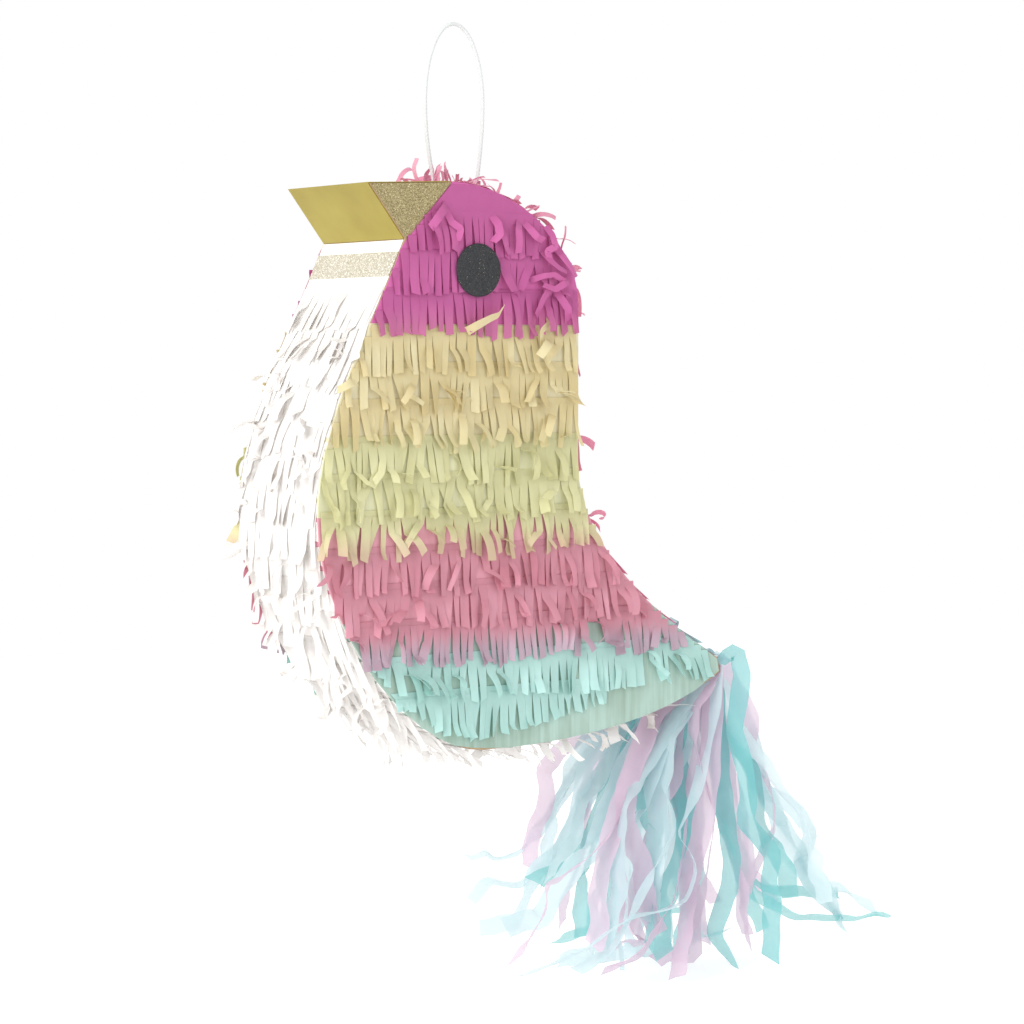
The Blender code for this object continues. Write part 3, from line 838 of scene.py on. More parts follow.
def side_sheet(side, colour, high, low):
    """Tissue glued flat on a side and folded a few millimetres over its edge."""
    sign = SIDES[side]
    plane = sign * (BODY_HALF + SHEET_LIFT)
    shape = bmesh.new()
    corners = []
    count = len(SHELL.points) - 1
    for index in range(count):
        before = SHELL.tangents[index - 1]
        after = SHELL.tangents[index]
        out = np.array((-(before + after)[1], (before + after)[0]))
        out = out / np.hypot(*out)
        bare = any(first < SHELL.points[index][0] < last for first, last in BARE_EDGES)
        reach = -BARE_EDGE if bare and SHELL.points[index][1] < BELLY_Z else SHEET_LIFT
        x, z = SHELL.points[index] + out * reach
        corners.append(shape.verts.new((x, plane, z)))
    shape.faces.new(corners)

    def cut(point, normal):
        everything = shape.verts[:] + shape.edges[:] + shape.faces[:]
        bmesh.ops.bisect_plane(shape, geom=everything, plane_co=point, plane_no=normal, clear_outer=True)

    cut((0, 0, high), (0, 0, 1))
    cut((0, 0, low), (0, 0, -1))
    if colour == "magenta":
        rise = Vector((BEAK_END[0] - NOTCH[0], 0, BEAK_END[1] - NOTCH[1]))
        cut((NOTCH[0] + 0.0008, 0, NOTCH[1]), (-rise.z, 0, rise.x))
    rim = []
    for edge in shape.edges:
        a, b = (v.co for v in edge.verts)
        middle = (a + b) / 2
        on_cut = abs(a.z - b.z) < 1e-6 and min(abs(a.z - high), abs(a.z - low)) < 1e-6
        cheek = colour == "magenta" and middle.z > NOTCH[1] and middle.x < BEAK_END[0] - 0.001
        bare = middle.z < BELLY_Z and any(first < middle.x < last for first, last in BARE_EDGES)
        chest = (side == "right" or colour == "magenta") and middle.x < -0.06 and middle.z > -0.44
        if not (on_cut or cheek or bare or chest):
            rim.append(edge)
    made = bmesh.ops.extrude_edge_only(shape, edges=rim)
    for vertex in made["geom"]:
        if isinstance(vertex, bmesh.types.BMVert):
            vertex.co.y -= sign * (SHEET_WRAP + SHEET_LIFT)
    bmesh.ops.recalc_face_normals(shape, faces=shape.faces)
    front = max(shape.faces, key=lambda face: face.calc_area())
    if front.normal.y * sign < 0:
        bmesh.ops.reverse_faces(shape, faces=shape.faces)
    mesh = bpy.data.meshes.new(f"{side}_{colour}_sheet")
    shape.to_mesh(mesh)
    shape.free()
    mesh.materials.append(finish_of(sheet_material, colour))
    obj = new_object(mesh.name, mesh)
    solid = obj.modifiers.new("thickness", "SOLIDIFY")
    solid.thickness = TISSUE
    solid.offset = 1.0
    return place(obj, "shell", f"{colour}_tissue")


def band_sheet(name, colour, body, first, last, half):
    """Tissue glued along a band from one station to another, as one thin strip of sheet."""
    cloth = Cloth()
    steps = max(2, int(abs(last - first) / 0.004))
    rows = []
    for step in range(steps + 1):
        point, _, out = SHELL.at(first + (last - first) * step / steps)
        row = []
        for k in range(5):
            y = half * (k / 2 - 1)
            row.append((point + Vector((0, y, 0)) + out * (SHEET_LIFT + TISSUE / 2), out))
        rows.append(row)
    cloth.strip(rows, 0.5)
    obj = cloth.finish(name, finish_of(sheet_material, colour))
    return place(obj, body, f"{colour}_tissue")


# Eyes.

# Rings of the eye from its back to its dome: share of its radius, share of its thickness.
EYE_PROFILE = ((0, 0), (1, 0), (1, 0.55), (0.985, 0.82), (0.955, 0.96), (0.90, 1), (0.45, 1.03), (0, 1.04))
EYE_SIDES = 72


def eye(side):
    """A disc of glitter foam with a soft rim, glued on the fringe."""
    sign = SIDES[side]
    low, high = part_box(f"{side}_eye")
    middle = (low + high) / 2
    radius = (high.x - low.x) / 2
    back = low.y if sign > 0 else high.y
    points = []
    faces = []
    below = []
    for share, depth in EYE_PROFILE:
        ring = []
        for k in range(EYE_SIDES if share else 1):
            angle = 2 * math.pi * k / EYE_SIDES
            x = middle.x + radius * share * math.cos(angle)
            z = middle.z + radius * share * math.sin(angle)
            ring.append(len(points))
            points.append((x, back + sign * (high.y - low.y) * depth, z))
        for k in range(EYE_SIDES if below else 0):
            lower = [below[i % len(below)] for i in (k, k + 1)]
            upper = [ring[i % len(ring)] for i in (k + 1, k)]
            faces.append(tuple(dict.fromkeys(lower + upper)))
        below = ring
    obj = mesh_object(f"{side}_foam_eye", points, faces, CAD_FINISHES["black_glitter_foam"], 45)
    return place(obj, "shell", "black_glitter_foam", f"{side}_eye")


# Hanging cord.

CORD_LEG = 0.016
LOOP_HALF_WIDTH = 0.024
LOOP_WIDEST_Z = -0.052


def bezier(points, share):
    points = [Vector(p) for p in points]
    while len(points) > 1:
        points = [a.lerp(b, share) for a, b in zip(points, points[1:])]
    return points[0]


def cord_centre():
    """Up the front leg, over the top of the loop and down the rear leg."""
    crown = {sign: SHELL.reach(0, sign * CORD_LEG)[1] - 0.0004 for sign in (-1, 1)}
    legs = {}
    for sign in (-1, 1):
        start = (sign * CORD_LEG, 0.0, crown[sign])
        leave = (sign * (CORD_LEG + 0.002), 0.0, crown[sign] + 0.012)
        arrive = (sign * LOOP_HALF_WIDTH, 0.0, LOOP_WIDEST_Z - 0.028)
        widest = (sign * LOOP_HALF_WIDTH, 0.0, LOOP_WIDEST_Z)
        leg = [bezier((start, leave, arrive, widest), k / 30) for k in range(30)]
        for k in range(49):
            angle = k / 48 * math.pi / 2
            rise = (CORD_RADIUS - LOOP_WIDEST_Z) * math.sin(angle)
            leg.append(Vector((sign * LOOP_HALF_WIDTH * math.cos(angle), 0.0, LOOP_WIDEST_Z + rise)))
        legs[sign] = leg
    return legs[-1] + legs[1][-2::-1]


def resampled(points, step):
    """Points at even steps along a path."""
    marks = [0.0]
    for a, b in zip(points, points[1:]):
        marks.append(marks[-1] + (b - a).length)
    count = max(2, int(marks[-1] / step))
    made = []
    index = 0
    for k in range(count + 1):
        mark = marks[-1] * k / count
        while index < len(points) - 2 and marks[index + 1] < mark:
            index += 1
        share = (mark - marks[index]) / (marks[index + 1] - marks[index])
        made.append(points[index].lerp(points[index + 1], min(max(share, 0.0), 1.0)))
    return made


def cord():
    """The loop as a twisted three-strand cord."""
    path = resampled(cord_centre(), 0.0007)
    across = Vector((0.0, 1.0, 0.0))
    around = 18
    lay = 0.0075
    points = []
    faces = []
    for index, point in enumerate(path):
        ahead = path[min(index + 1, len(path) - 1)] - path[max(index - 1, 0)]
        up = ahead.normalized().cross(across)
        turn = 2 * math.pi * index * 0.0007 / lay
        for k in range(around):
            angle = 2 * math.pi * k / around
            lobe = abs(math.cos(1.5 * (angle - turn)))
            radius = CORD_RADIUS * (0.78 + 0.22 * lobe)
            points.append(point + across * (radius * math.cos(angle)) + up * (radius * math.sin(angle)))
    for index in range(len(path) - 1):
        for k in range(around):
            a = index * around + k
            b = index * around + (k + 1) % around
            faces.append((a, b, b + around, a + around))
    faces.append(tuple(range(around)))
    faces.append(tuple(range(len(points) - around, len(points))))
    obj = mesh_object("loop_cord", points, faces, CAD_FINISHES["white_cord"])
    joint = next(j for j in frame["joints"] if j["name"] == "loop_flop")
    pivot = Vector(joint["pos_m"])
    axis = Vector(joint["axis"])
    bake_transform(obj)
    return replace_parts(obj, "hanging_loop")


# Streamers.

# Each tassel: y of its joint, and the numbers of the streamers of the frame that it replaces.
TASSELS = {
    "left_tassel": (-0.035, (1, 2)),
    "middle_tassel": (0.0, (3, 4, 5)),
    "right_tassel": (0.035, (6, 7)),
}
# Ribbons with roots farther than this from the middle, in millimetres, are in the outer tassels.
TASSEL_SPLIT = 17
# The level way from the bird to the camera, to which ribbons turn their faces.
TO_CAMERA = (-0.588, -0.809)


def smoothed(points, reach):
    """Each point replaced by the mean of those up to reach steps away."""
    made = []
    for index in range(len(points)):
        near = min(reach, index, len(points) - 1 - index)
        part = points[index - near : index + near + 1]
        made.append(sum(part, Vector()) / len(part))
    return made


def rounded(corners, rng):
    """Nearly straight runs between the corners of a path, hardly rounded where they meet."""
    kinked = [corners[0]]
    for a, b in zip(corners, corners[1:]):
        stray = Vector(rng.normal(0.0, 0.055 * (b - a).length, 3))
        kinked += [a.lerp(b, rng.uniform(0.35, 0.65)) + stray, b]
    return smoothed(resampled(kinked, 0.002), 2)


def ribbon(name, colour, width, corners, facing, rng, start_angle, turns, creases):
    """A long tissue ribbon through its corners, with creases where it was folded."""
    path = [SHELL.clear(point, 0.0016) for point in rounded(corners, rng)]
    points = resampled(path, sum((b - a).length for a, b in zip(path, path[1:])) / RIBBON_STEPS)
    wobble = rng.uniform(0, 6.28, 6)
    across = Vector((0.0, 1.0, 0.0))
    flat = across
    cloth = Cloth()
    rows = []
    count = len(points)
    fold_at = sorted(rng.uniform(0.25, 0.95, creases))
    fold_by = [rng.uniform(0.4, 1.2) * (-1) ** k for k in range(creases)]
    curl = rng.normal(0.0, 0.0009)
    pleat = rng.normal(0.0, 0.0011)
    pleat_at = rng.uniform(-0.4, 0.4)
    slant = rng.uniform(-0.0045, 0.0045)
    for index, point in enumerate(points):
        share = index / (count - 1)
        ahead = (points[min(index + 1, count - 1)] - points[max(index - 1, 0)]).normalized()
        seen = ahead.cross(facing)
        if seen.length > 0.3:
            flat = seen.normalized() if seen.dot(flat) > 0 else -seen.normalized()
        ease = min(1.0, share * 9)
        side = across * (1 - ease) + flat * ease
        side = (side - ahead * side.dot(ahead)).normalized()
        angle = start_angle * min(1.0, share * 6) + turns * 2 * math.pi * max(0.0, share - 0.08)
        waver = 0.28 * share * math.sin(share * 9 + wobble[0])
        angle += waver + 0.16 * share * math.sin(share * 23 + wobble[1])
        for at, by in zip(fold_at, fold_by):
            angle += by / (1 + math.exp(-(share - at) * 90))
        side = turned(side, ahead, angle)
        normal = side.cross(ahead)
        drift = side * math.sin(share * 13 + wobble[2]) + normal * math.sin(share * 17 + wobble[3])
        centre = point + drift * (0.0013 * share) + side * (0.0006 * share * math.sin(share * 61 + wobble[4]))
        half = width / 2 * (1 + 0.05 * math.sin(share * 37 + wobble[1]))
        free = min(1.0, share * 5)
        row = []
        for k in (-1.0, -0.5, 0.0, 0.5, 1.0):
            lift = free * (curl * (1 - k * k) + pleat * abs(k - pleat_at) * math.sin(share * 7 + wobble[5]))
            lift += 0.0006 * share * math.sin(share * 60 + k * 2.5 + wobble[0])
            spot = centre + side * (half * k) + normal * lift
            if index == count - 1:
                spot = spot + ahead * (slant * k)
            spot.z = max(spot.z, FLOOR_Z + 0.0006 + 0.0004 * abs(k))
            tilt = (normal + side * (2 * curl * k / half)).normalized()
            row.append((spot, tilt))
        rows.append(row)
    cloth.strip(rows, float(np.clip(rng.normal(0.5, 0.22), 0, 1)))
    obj = cloth.finish(name, STREAMER_FINISHES[colour])
    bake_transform(obj)
    return obj


# The streamers in front: colour, width, start angle (degrees), turns, creases, and corners. In
# millimetres: x and z from the middle of the tail's end, y from the middle of the bird.
FRONT_STREAMERS = (
    ("teal", 13, 0, 0.0, 0, ((7, -48, 6), (12, -55, 10), (13, -58, -6), (15, -58, -70), (15, -58, -112),
     (42, -59, -140), (37, -60, -158), (37, -64, -216))),
    ("lilac", 15, 0, 0.0, 1, ((-4, -46, -26), (-11, -50, -81), (-21, -52, -120), (-36, -56, -164),
     (-53, -62, -218))),
    ("lilac", 13, 60, -0.05, 1, ((-20, -44, -28), (-14, -47, -76), (-5, -49, -106), (-12, -50, -150),
     (-40, -52, -200))),
    ("lilac", 15, 10, 0.0, 2, ((-45, -30, -32), (-72, -34, -80), (-78, -37, -108), (-66, -40, -134),
     (-62, -42, -165), (-52, -44, -190))),
    ("lilac", 15, -10, 0.0, 1, ((-45, -25, -40), (-80, -30, -100), (-92, -36, -128), (-105, -40, -160),
     (-112, -42, -192))),
    ("pale_blue", 16, 5, 0.0, 1, ((-28, -30, -25), (-40, -33, -65), (-46, -36, -100), (-50, -38, -140),
     (-60, -40, -180))),
    ("pale_blue", 12, 45, 0.1, 1, ((-12, -46, -60), (-28, -54, -92), (-46, -56, -118), (-30, -58, -142),
     (-42, -60, -165), (-90, -62, -172), (-134, -64, -188), (-190, -66, -198))),
    ("pale_blue", 12, 50, 0.0, 2, ((-40, -40, -50), (-52, -52, -92), (-46, -54, -112), (-66, -56, -140),
     (-96, -60, -178), (-112, -62, -192), (-140, -64, -203))),
    ("pale_blue", 13, 30, 0.0, 2, ((-50, -35, -60), (-80, -38, -100), (-86, -40, -136), (-96, -42, -176),
     (-100, -44, -200))),
    ("pale_blue", 16, -5, 0.0, 1, ((-8, 24, -34), (-40, 22, -60), (-73, 18, -98), (-104, 12, -140),
     (-116, 8, -154))),
    ("pale_blue", 16, 0, 0.0, 1, ((-8, 42, -30), (-52, 38, -60), (-76, 34, -92), (-92, 30, -120),
     (-104, 26, -147))),
    ("lilac", 12, 20, 0.0, 2, ((-28, 46, -46), (-76, 44, -68), (-90, 42, -80), (-88, 40, -99),
     (-104, 38, -122), (-108, 36, -148))),
    ("lilac", 11, 40, 0.0, 2, ((-50, -30, -60), (-90, -34, -115), (-124, -38, -136), (-152, -42, -146),
     (-156, -44, -166), (-182, -48, -193))),
    ("pale_blue", 15, -20, 0.0, 1, ((-60, -15, -70), (-95, -22, -130), (-128, -26, -152),
     (-148, -30, -172), (-178, -32, -172))),
    ("teal", 14, 10, 0.0, 1, ((-12, 36, -50), (-45, 28, -105), (-60, 22, -124), (-80, 18, -146),
     (-120, 12, -153))),
    ("pale_blue", 12, 20, 0.1, 1, ((-52, 46, -80), (-106, 46, -138), (-126, 46, -142), (-140, 46, -134),
     (-158, 46, -136))),
    ("pale_blue", 12, 0, 0.1, 2, ((-36, 34, -80), (-84, 36, -150), (-118, 34, -158), (-148, 34, -152),
     (-162, 32, -166))),
    ("lilac", 15, 10, 0.0, 1, ((28, -20, -6), (52, -22, -45), (54, -23, -70), (68, -25, -100),
     (74, -26, -128), (56, -28, -150), (42, -30, -172))),
    ("pale_blue", 12, 20, 0.1, 2, ((30, -10, 0), (60, -12, -56), (66, -12, -100), (95, -12, -112),
     (122, -12, -138), (108, -14, -158), (124, -16, -186), (148, -18, -206))),
    ("pale_blue", 10, 10, 0.0, 1, ((30, 0, -20), (80, -6, -110), (112, -10, -148), (134, -12, -178),
     (150, -14, -215))),
    ("teal", 10, 60, 0.0, 1, ((40, 10, -80), (70, 4, -165), (86, 0, -180), (160, -2, -190))),
    ("teal", 12, 50, 0.0, 0, ((36, -5, -90), (64, -8, -178), (104, -16, -200), (160, -20, -209),
     (192, -22, -210))),
    ("pale_blue", 14, 30, 0.0, 1, ((50, -4, -60), (100, -8, -150), (126, -12, -178), (186, -14, -203))),
    ("teal", 14, -10, 0.0, 1, ((5, -38, -40), (12, -46, -130), (4, -50, -172), (-8, -54, -196),
     (6, -56, -218))),
    ("teal", 15, 0, 0.0, 1, ((-30, -22, -30), (-58, -26, -82), (-54, -30, -112), (-44, -34, -136),
     (-54, -38, -170), (-60, -40, -200))),
    ("lilac", 9, 30, 0.1, 2, ((10, -30, -60), (18, -46, -150), (18, -52, -180), (26, -54, -208))),
    ("lilac", 11, 50, 0.0, 1, ((-20, -40, -90), (-46, -56, -165), (-80, -60, -195), (-114, -62, -204))),
    ("lilac", 13, 10, 0.0, 1, ((12, -30, -40), (20, -36, -110), (34, -40, -150), (30, -44, -200))),
)
FILL_COUNT = 28
FILL_COLOURS = ("teal", "lilac", "pale_blue", "teal", "lilac", "pale_blue", "pale_blue")


def fill_streamer(index, rng):
    """One of the many streamers behind: leaning to one side, hanging, or trailing on the floor."""
    root = -34 + 80 * (index * 0.618 % 1.0)
    lean = float(np.clip(rng.normal(-0.25, 0.7), -1.5, 1.4))
    fall = 216 - abs(rng.normal(0, 6 + 16 * abs(lean)))
    corners = []
    for share in (0.20, 0.42, 0.64, 0.84, 1.0):
        x = 84 * lean * share**0.8 + rng.normal(0, 6)
        y = root * (1 + 0.22 * share) + rng.normal(0, 4)
        corners.append((x, y, -fall * share + rng.normal(0, 4)))
    if index % 3 == 0:
        x, y, z = corners[-1]
        corners.append((x + 34 * math.copysign(1, lean), y, z))
    return (FILL_COLOURS[index % 7], rng.uniform(11, 16), rng.normal(0, 28), rng.normal(0, 0.08),
            int(rng.integers(1, 4)), corners)


def streamers():
    """The ribbons of the tail, from its end, in three tassels that each replace streamers of the frame."""
    tail = Vector((TAIL_X + 0.0016, 0.0, TAIL_MIDDLE_Z))
    for index in range(len(FRONT_STREAMERS) + FILL_COUNT):
        rng = np.random.default_rng(4100 + index)
        in_front = index < len(FRONT_STREAMERS)
        entry = FRONT_STREAMERS[index] if in_front else fill_streamer(index, rng)
        colour, width, start, turns, creases, corners = entry
        root = corners[0][1]
        body = "middle_tassel"
        if abs(root) > TASSEL_SPLIT:
            body = "left_tassel" if root < 0 else "right_tassel"
        path = [tail + Vector((0.0, root / 1000, 0.0))] + [tail + Vector(corner) / 1000 for corner in corners]
        for point in path:
            point.z = max(point.z, FLOOR_Z + 0.0012)
        side = 1 if in_front or root < 5 else -1
        facing = Vector((TO_CAMERA[0], TO_CAMERA[1] * side, 0.0))
        obj = ribbon(f"ribbon_{index + 1:02d}_{colour}", colour, width / 1000, path, facing, rng,
                     math.radians(start), turns, creases)
        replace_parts(obj, *(f"streamer_{k}" for k in TASSELS[body][1]))


# Strips that curl away from the rows: colour, width, twist (degrees), and corners. In
# millimetres: x, z, and how far out from the side.
LOOSE_STRIPS = (
    ("magenta", 6.5, 15, ((-42, -125, 1), (-46, -128, 5), (-53, -134, 8), (-57, -141, 5))),
    ("magenta", 5.0, -25, ((-55, -135, 2), (-54, -139, 6), (-51, -147, 7), (-48, -153, 4))),
    ("magenta", 5.0, 50, ((-42, -129, 1), (-40, -137, 5), (-34, -141, 7), (-35, -149, 4))),
    ("magenta", 6.0, 60, ((-5, -131, 1), (-3, -137, 6), (-3, -144, 8), (-7, -149, 5))),
    ("magenta", 5.5, -20, ((0, -136, 1), (2, -145, 6), (4, -152, 6), (9, -157, 3))),
    ("magenta", 5.5, 15, ((18, -134, 1), (14, -140, 6), (14, -149, 7), (15, -156, 4))),
    ("magenta", 5.5, 30, ((22, -135, 1), (24, -140, 6), (28, -145, 8), (35, -147, 6))),
    ("magenta", 5.0, 20, ((40, -137, 1), (43, -143, 5), (44, -151, 8), (37, -154, 7), (42, -162, 5))),
    ("magenta", 6.0, -30, ((48, -151, 1), (51, -157, 6), (57, -166, 9), (61, -171, 8))),
    ("magenta", 4.5, 50, ((27, -174, 1), (34, -171, 7), (42, -170, 9), (51, -174, 7))),
    ("magenta", 5.0, -40, ((36, -153, 1), (39, -159, 6), (45, -165, 9), (53, -168, 8))),
    ("magenta", 5.0, 30, ((56, -170, 1), (53, -175, 8), (43, -180, 9), (34, -177, 7))),
    ("magenta", 5.5, -20, ((45, -170, 1), (42, -177, 6), (35, -186, 6), (30, -198, 4))),
    ("magenta", 6.0, 20, ((46, -177, 1), (49, -185, 6), (55, -193, 7), (57, -201, 5))),
    ("cream", 6.5, 55, ((-27, -209, 3), (-22, -205, 8), (-12, -200, 10), (-5, -198, 9), (1, -192, 7))),
    ("cream", 5.0, -30, ((42, -200, 1), (38, -204, 7), (32, -208, 8), (34, -217, 5))),
)


def loose_strips(side, colour):
    """The strips of one colour that curl away from the rows of a side."""
    sign = SIDES[side]
    out = Vector((0.0, sign, 0.0))
    cloth = Cloth()
    for number, (own, width, twist, corners) in enumerate(LOOSE_STRIPS):
        if own != colour:
            continue
        rng = np.random.default_rng(5200 + number + (0 if sign < 0 else 100))
        stray = Vector((0.0, 0.0, 0.0)) if sign < 0 else Vector((rng.normal(0, 4), 0.0, rng.normal(0, 3)))
        path = [(Vector((x, sign * away, z)) + stray) / 1000 + out * BODY_HALF for x, z, away in corners]
        points = smoothed(resampled(path, 0.001), 1)
        frames = []
        last = len(points) - 1
        for index, point in enumerate(points):
            ahead = (points[min(index + 1, last)] - points[max(index - 1, 0)]).normalized()
            across = ahead.cross(out).normalized()
            across = turned(across, ahead, math.radians(twist) * (index / last))
            frames.append((point, across, across.cross(ahead)))
        # The curled strips are painted close to their tissue's colour in light: painted light.
        add_strip(cloth, rng, frames, width / 1000, rng.uniform(0.65, 1.0), 0.12)
    obj = cloth.finish(f"{side}_{colour}_curls", finish_of(tissue_material, colour))
    return place(obj, "shell", f"{colour}_tissue")


def streamer_header():
    """The uncut edge of the streamers' tissue, glued in small pleats over the tail's end."""
    low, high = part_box("streamer_header")
    rng = np.random.default_rng(4090)
    cloth = Cloth()
    # The layer beneath is painted near the teal's shade colour, a painted shade, and the outer layer lighter.
    for layer, painted_light_share in ((0, 0.25), (1, 0.6)):
        wave = rng.uniform(0, 6.28, 3)
        rows = []
        for step in range(97):
            y = low.y + (high.y - low.y) * step / 96
            pleats = math.sin(step * 0.9 + wave[0]) + 0.6 * math.sin(step * 2.3 + wave[1])
            row = []
            for k in range(5):
                z = high.z + (low.z - high.z) * k / 4 - 0.0008 * layer
                x = low.x + 0.0019 * k / 4 + 0.0010 + 0.0008 * layer + pleats * (0.0001 + 0.00018 * k)
                row.append((Vector((x, y, z)), Vector((1.0, 0.0, 0.1))))
            rows.append(row)
        cloth.strip(rows, painted_light_share)
    obj = cloth.finish("streamer_header_tissue", finish_of(tissue_material, "teal"))
    return place(obj, "shell", "teal_tissue", "streamer_header")


# Put it together.

# Glitters: name, colour of the glue, of the flakes and of the painted glint on the brightest, size, metal,
# shine.
GLITTERS = (
    ("gold_glitter", (0.205, 0.165, 0.070), (0.50, 0.42, 0.22), (0.66, 0.58, 0.36), 0.00048, 0.30, 0.04),
    ("pale_glitter", (0.42, 0.375, 0.28), (0.62, 0.58, 0.475), (0.86, 0.83, 0.77), 0.00060, 0.10, 0.24),
    ("black_glitter_foam", (0.008, 0.009, 0.011), (0.042, 0.044, 0.049), (0.30, 0.26, 0.16),
     0.00045, 0.0, 0.01),
)
CAD_FINISHES = {
    "cardboard": cardboard_material(),
    "gold_paper": gold_paper_material(),
    "white_cord": cord_material(),
}
for look in GLITTERS:
    CAD_FINISHES[look[0]] = glitter_material(*look)
for node in frame["nodes"].values():
    for held in node.material_slots:
        kind = held.material.name.split(".")[0]
        tissue = kind.replace("_tissue", "")
        held.material = CAD_FINISHES[kind] if kind in CAD_FINISHES else finish_of(tissue_material, tissue)
STREAMER_FINISHES = {name: tissue_material(name, None, 0.24, 0.44) for name in ("teal", "pale_blue", "lilac")}

for side in SIDES:
    for colour, high, low in SHEET_STEPS:
        side_sheet(side, colour, high, low)
    for number in range(ROW_COUNT):
        side_row(side, number)
    eye(side)
    loose_strips(side, "magenta")
    loose_strips(side, "cream")

THROAT_LOW, THROAT_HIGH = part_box("throat_glitter_strip")
THROAT_TOP = SHELL.total - math.hypot(NOTCH[0] - THROAT_HIGH.x, NOTCH[1] - THROAT_HIGH.z)
WHITE_START = THROAT_TOP - math.hypot(THROAT_HIGH.x - THROAT_LOW.x, THROAT_HIGH.z - THROAT_LOW.z)
BAND_SHEET_HALF = BODY_HALF - EDGE_GAP
band_sheet("throat_sheet", "white", "shell", SHELL.total - EDGE_GAP, THROAT_TOP - 0.003, BAND_SHEET_HALF)
band_sheet("chest_sheet", "white", "shell", WHITE_START + 0.003, TAIL_LOW + 0.004, BAND_SHEET_HALF)

white_rows = 0
mark = WHITE_START - 0.010
while mark > TAIL_LOW + 0.045:
    rng = np.random.default_rng(900 + white_rows)
    mess = 0.2 if white_rows == 0 else 0.78
    obj = band_row(f"white_row_{white_rows + 1:02d}", rng, mark, -1, "white", mess, length=0.030, wide=1.35)
    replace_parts(obj, "chest_fringe" if SHELL.at(mark)[0].x < -0.01 else "belly_fringe")
    white_rows += 1
    mark -= BAND_ROW_PITCH

BACK_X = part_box("back_band")[1].x
BACK_TOP_Z = -0.190
FLAP_TOP = SHELL.station(BACK_X, BACK_TOP_Z) + (BACK_TOP_Z - FLAP_HIGH.z)
FLAP_FOOT = FLAP_TOP + FLAP_HIGH.z - FLAP_LOW.z
FLAP_HALF = FLAP_HIGH.y
MARGINS = ((-FRINGE_HALF, -FLAP_HALF - EDGE_GAP), (FLAP_HALF + EDGE_GAP, FRINGE_HALF))
band_sheet("crown_sheet", "rose", "shell", CROWN_START + 0.002, FLAP_TOP - 0.0006, BAND_SHEET_HALF)
band_sheet("rump_sheet", "rose", "shell", FLAP_FOOT + 0.0006, TAIL_TOP - 0.002, BAND_SHEET_HALF)
band_sheet("flap_sheet", "rose", "flap", FLAP_TOP + 0.0006, FLAP_FOOT - 0.0006, FLAP_HALF - 0.0004)


def evenly(first, last, count):
    return [first + (last - first) * k / (count - 1) for k in range(count)]


def near_cord(start):
    return abs(start.y) < 0.010 and abs(abs(start.x) - CORD_LEG) < 0.010


for index, mark in enumerate(evenly(CROWN_START + 0.008, FLAP_TOP - STRIP_LENGTH - 0.0025, 9)):
    rng = np.random.default_rng(1500 + index)
    mess = 0.85 if index < 5 else 0.5
    row = band_row(f"crown_row_{index + 1}", rng, mark, 1, "rose", mess, pull=0.03, avoid=near_cord)
    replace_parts(row, "crown_fringe")
for index in range(2):
    mark = FLAP_TOP + 0.0055 + index * BAND_ROW_PITCH
    rng = np.random.default_rng(1600 + index)
    inner = ((-FLAP_HALF + 0.0008, FLAP_HALF - 0.0008),)
    row = band_row(f"flap_row_{index + 1}", rng, mark, 1, "rose", 0.35, "flap", inner)
    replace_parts(row, "flap_fringe")
    band_row(f"margin_row_{index + 1}", rng, mark, 1, "rose", 0.35, "shell", MARGINS)
for index, mark in enumerate(evenly(FLAP_FOOT + 0.0055, TAIL_TOP - 0.018, 8)):
    rng = np.random.default_rng(1700 + index)
    colour = "rose" if index < 6 else "pale_blue"
    row = band_row(f"rump_row_{index + 1}", rng, mark, 1, colour, 0.7)
    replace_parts(row, "rump_fringe")

FRONT_LEG, REAR_LEG = (SHELL.station(x, SHELL.reach(0, x)[1]) for x in (-CORD_LEG, CORD_LEG))
chest_spots = [(WHITE_START - 0.05 - 0.028 * k, 0.041 if k % 3 else -0.03) for k in range(12)]
front_spots = [(FRONT_LEG + along, 0.0) for along in (-0.006, 0.001, 0.007)]
rear_spots = [(REAR_LEG - 0.012 + 0.007 * k, 0.012 * (k % 2) - 0.006) for k in range(6)]
strand_spots = [(REAR_LEG + 0.018 * k, y) for k, y in ((0, -0.02), (1, -0.035), (2, -0.02), (3, -0.04))]
# Tufts: name, seed, colour, spots, strips for each, their spread, length, width and curl.
TUFTS = (
    ("chest_tufts", 1805, "white", chest_spots, 3, 0.005, 0.019, 0.0048, 0.06),
    ("crown_tuft_front", 1801, "rose", front_spots, 6, 0.003, 0.019, 0.0042, 0.08),
    ("crown_tuft_rear", 1804, "rose", rear_spots, 14, 0.004, 0.020, 0.0044, 0.26),
    ("crown_strands", 1803, "rose", strand_spots, 2, 0.006, 0.020, 0.0022, -0.04),
)
for entry in TUFTS:
    tufts(*entry)

cord()
streamer_header()
streamers()

# Floor, light and camera.

WORLD_LIGHT = 0.80
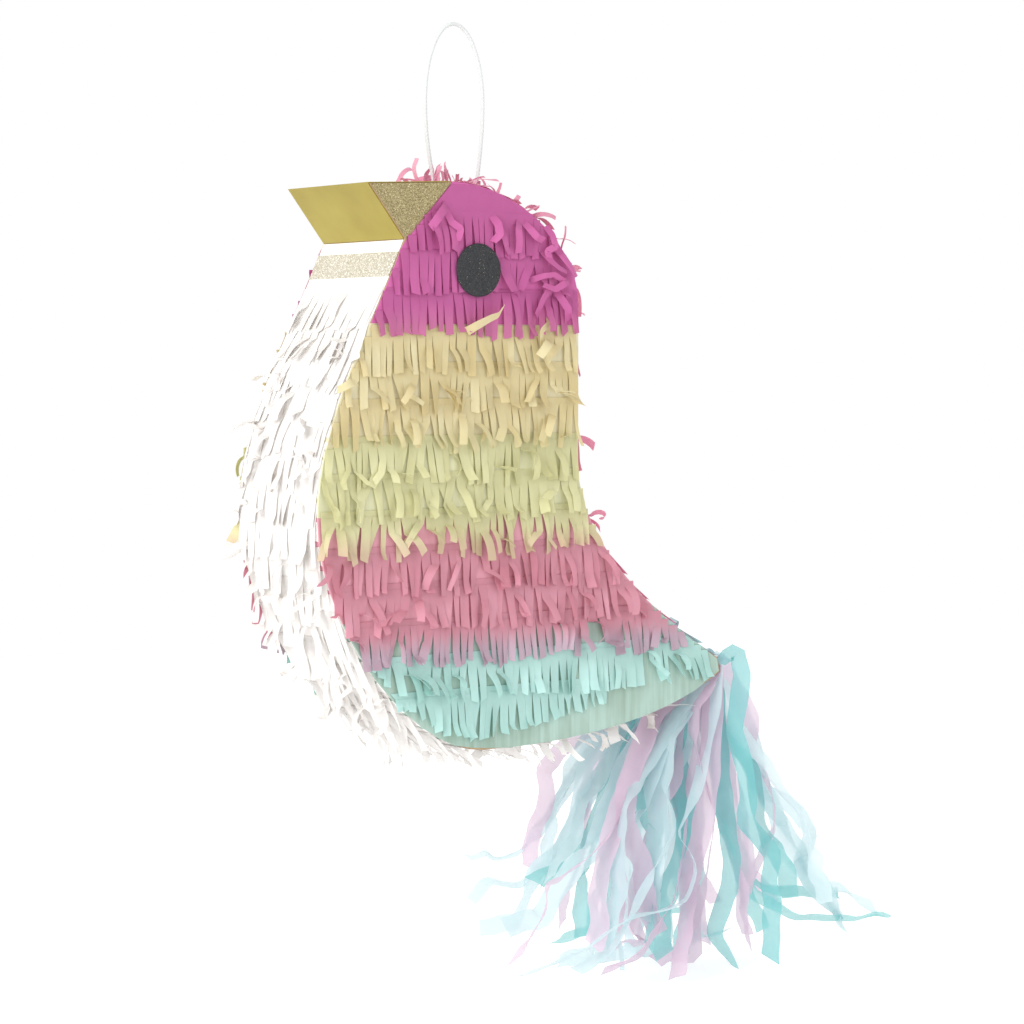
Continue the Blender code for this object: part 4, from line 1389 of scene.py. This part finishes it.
# The soft lights, which all face the middle of the bird: name, place, size and power.
AIM = (0.03, 0.0, -0.33)
LIGHTS = (
    ("key", (-2.3, -0.7, 0.5), 1.4, 43.0),
    ("fill", (0.5, -2.4, 0.1), 2.2, 11.0),
    ("rim", (2.0, 0.6, 0.8), 1.6, 14.0),
    ("back", (-0.3, 2.4, 0.3), 2.0, 14.0),
)


def stage():
    """A pale floor and a bright, even room that the camera sees as white."""
    bpy.ops.mesh.primitive_plane_add(size=4.5, location=(0.0, 0.0, FLOOR_Z - 0.0005))
    floor = bpy.context.object
    floor.name = "floor"
    white = (1.0, 1.0, 1.0)
    paint = {
        "Base Color": (0.62, 0.62, 0.62),
        "Roughness": 0.9,
        "Emission Color": white,
        "Emission Strength": 0.50,
    }
    floor.data.materials.append(new_material("floor_paint", paint)[0])
    world = bpy.data.worlds.new("studio")
    bpy.context.scene.world = world
    world.use_nodes = True
    tree = world.node_tree
    seen = add_node(tree, "LightPath", {}).outputs["Is Camera Ray"]
    level = math_node(tree, "ADD", math_node(tree, "MULTIPLY", seen, 1.0 - WORLD_LIGHT), WORLD_LIGHT)
    put(tree, tree.nodes["Background"].inputs["Color"], white)
    put(tree, tree.nodes["Background"].inputs["Strength"], level)
    for name, where, size, power in LIGHTS:
        lamp = bpy.data.lights.new(name, "AREA")
        lamp.size = size
        lamp.energy = power
        obj = new_object(name, lamp)
        obj.location = where
        obj.rotation_euler = (Vector(AIM) - obj.location).to_track_quat("-Z", "Y").to_euler()


def camera():
    """A long lens, a little above the level of the bird, turned 36 degrees off its side."""
    yaw = math.radians(36.0)
    pitch = math.radians(3.0)
    distance = 2.0
    target = Vector((0.049, 0.0, -0.334))
    ahead = Vector((math.sin(yaw) * math.cos(pitch), math.cos(yaw) * math.cos(pitch), -math.sin(pitch)))
    data = bpy.data.cameras.new("camera")
    data.sensor_width = 36.0
    data.lens = 100.5
    obj = new_object("camera", data)
    obj.location = target - ahead * distance
    obj.rotation_euler = ahead.to_track_quat("-Z", "Y").to_euler()
    bpy.context.scene.camera = obj


stage()
camera()
bpy.context.scene.view_settings.view_transform = "Standard"
bpy.context.scene.cycles.transparent_max_bounces = 24
